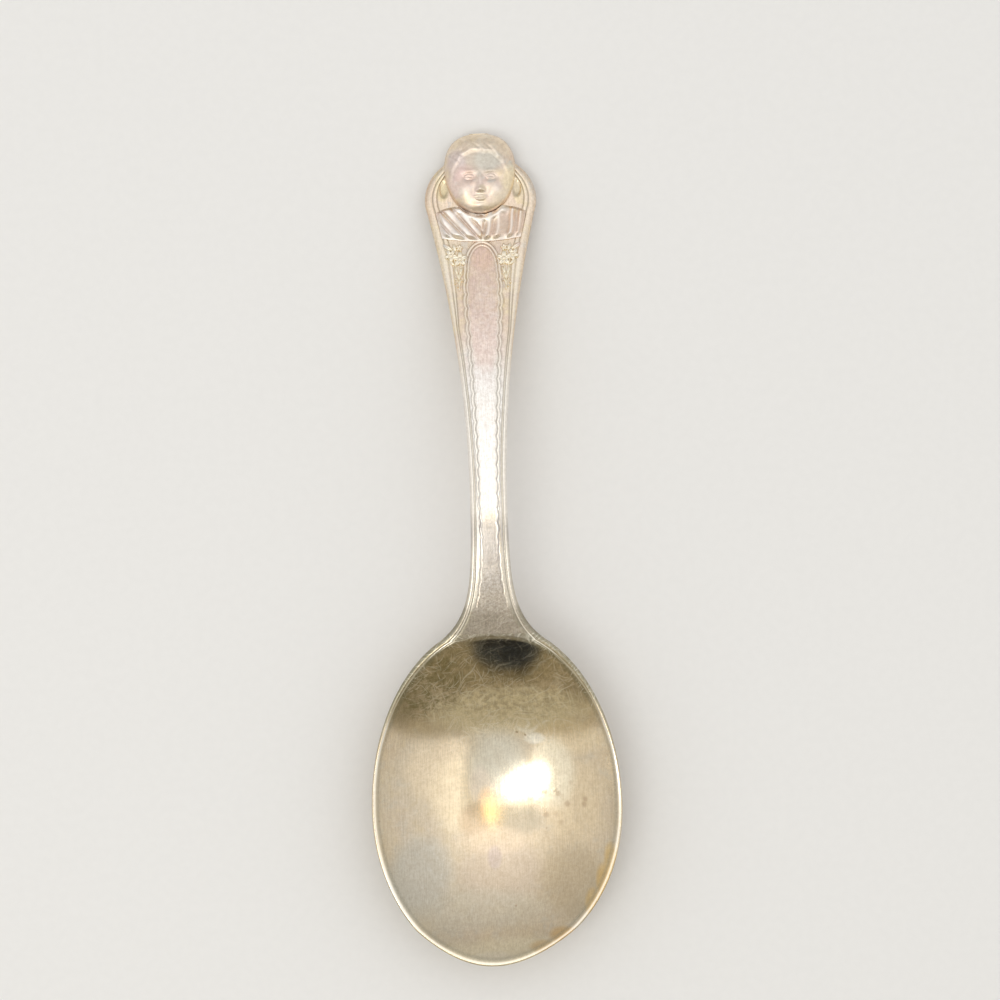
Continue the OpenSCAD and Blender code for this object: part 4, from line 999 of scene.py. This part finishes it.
stageSet = {
    "matt": 0.9, "floorHalf": 3.0,
    "floorColour": colour(0.80, 0.79, 0.77), "floorGrain": colour(0.77, 0.76, 0.74),
    "skyLow": 0.55, "skyHigh": 1.42, "skySide": 0.3,
    "cardAway": 0.5, "cardWide": 0.94, "cardHigh": 0.68, "cardPoints": 49,
    "cardColour": colour(0.60, 0.56, 0.45), "cardDark": colour(0.02, 0.02, 0.02),
    "darkX": -0.065, "darkZ": 0.08, "darkWide": 0.117, "darkHigh": 0.12,
    "screen": (-0.19, 0.155, -0.40, -0.031, 0.47),  # two sides, two ends, height
    "screenColour": colour(0.88, 0.89, 0.90), "screenGlow": 0.2,
    "lampAt": (-0.160, -0.130, 0.44), "lampSize": (0.31, 0.095), "lampTurn": 15.0, "lampPower": 0.27,
    "lampTone": (1.0, 0.98, 0.93),
    "glowAt": (0.0175, -0.048, 0.44), "glowSize": (0.042, 0.034), "glowPower": 0.014,
    "glowTone": (1.0, 0.72, 0.24),
}


def mattSheet(name, points):  # a flat matt sheet, and its shader
    mesh = bpy.data.meshes.new(name)
    mesh.from_pydata(points, [], [list(range(len(points)))])
    material = bpy.data.materials.new(name)
    material.use_nodes = True
    shader = material.node_tree.nodes["Principled BSDF"]
    shader.inputs["Roughness"].default_value = stageSet["matt"]
    mesh.materials.append(material)
    sheet = bpy.data.objects.new(name, mesh)
    bpy.context.scene.collection.objects.link(sheet)
    return sheet, shader


def makeFloor():
    h = stageSet["floorHalf"]
    floor, shader = mattSheet("paleFloor", [(-h, -h, 0), (h, -h, 0), (h, h, 0), (-h, h, 0)])
    tree = shader.id_data
    w = Wire(tree)
    here = w.make("ShaderNodeTexCoord", out=3)
    paper = w.make("ShaderNodeTexNoise", {}, {"Vector": here, "Scale": 900.0, "Detail": 3.0})
    base = (paper.step(0.3, 0.7) * 0.35).tint(stageSet["floorColour"], stageSet["floorGrain"])
    tree.links.new(base.socket, shader.inputs["Base Color"])


def makeCard():  # a half-round dark card at the foot of the picture, which the bowl's upper wall mirrors
    angle = np.linspace(0, np.pi, stageSet["cardPoints"])
    rim = np.stack([stageSet["cardWide"] * np.cos(angle), np.full(angle.size, -stageSet["cardAway"]),
                    stageSet["cardHigh"] * np.sin(angle)], -1)
    card, shader = mattSheet("darkCard", rim.tolist())
    tree = shader.id_data
    w = Wire(tree)
    here = w.make("ShaderNodeTexCoord", out=3)
    across, up = here.parts()[::2]
    ragged = w.make("ShaderNodeTexNoise", {}, {"Vector": here, "Scale": 14.0, "Detail": 3.0})
    reach = ((across - stageSet["darkX"]) / stageSet["darkWide"]) ** 2
    reach = reach + ((up - stageSet["darkZ"]) / stageSet["darkHigh"]) ** 2 + (ragged - 0.5) * 1.8
    base = reach.step(0.6, 1.3).tint(stageSet["cardDark"], stageSet["cardColour"])
    tree.links.new(base.socket, shader.inputs["Base Color"])
    card.visible_camera = False


def makeScreen():  # a small grey screen overhead, seen only in the metal
    x0, x1, y0, y1, z = stageSet["screen"]
    screen, shader = mattSheet("greyScreen", [(x0, y0, z), (x0, y1, z), (x1, y1, z), (x1, y0, z)])
    shader.inputs["Base Color"].default_value = stageSet["screenColour"]
    shader.inputs["Emission Color"].default_value = stageSet["screenColour"]
    shader.inputs["Emission Strength"].default_value = stageSet["screenGlow"]
    screen.visible_camera = screen.visible_diffuse = screen.visible_shadow = False


def makeLamp(name, spot, size, turn, power, tone):  # faces straight down
    lamp = bpy.data.lights.new(name, "AREA")
    lamp.shape, lamp.size, lamp.size_y, lamp.energy, lamp.color = "ELLIPSE", size[0], size[1], power, tone
    holder = bpy.data.objects.new(name, lamp)
    holder.location = spot
    holder.rotation_euler = (0, 0, math.radians(turn))
    bpy.context.scene.collection.objects.link(holder)


def makeSky():  # pale all round, brighter overhead by the cube of the height and a little to either side
    world = bpy.data.worlds.new("studio")
    bpy.context.scene.world = world
    world.use_nodes = True
    tree = world.node_tree
    w = Wire(tree)
    across, up = w.make("ShaderNodeTexCoord").parts()[::2]
    low, high = stageSet["skyLow"], stageSet["skyHigh"]
    rise = w.sums("MAXIMUM", up, 0.0) ** 3.0
    level = low + rise * (high - low) + across * across * stageSet["skySide"]
    tree.links.new(level.socket, tree.nodes["Background"].inputs["Color"])


makeFloor()
makeCard()
makeScreen()
makeSky()
makeLamp("softLamp", stageSet["lampAt"], stageSet["lampSize"], stageSet["lampTurn"], stageSet["lampPower"],
         stageSet["lampTone"])
makeLamp("warmGlow", stageSet["glowAt"], stageSet["glowSize"], 0, stageSet["glowPower"], stageSet["glowTone"])

cameraSet = {"at": (0.00146, 0.00618, 0.6), "turn": -1.58, "lens": 165.2, "sensor": 36.0, "nearest": 0.01}
eye = bpy.data.cameras.new("topCamera")
eye.lens, eye.sensor_width, eye.clip_start = cameraSet["lens"], cameraSet["sensor"], cameraSet["nearest"]
eyeHolder = bpy.data.objects.new("topCamera", eye)
eyeHolder.location = cameraSet["at"]
eyeHolder.rotation_euler = (0, 0, math.radians(cameraSet["turn"]))
bpy.context.scene.collection.objects.link(eyeHolder)
bpy.context.scene.camera = eyeHolder
bpy.context.scene.view_settings.view_transform = "Standard"
print("stage ready")
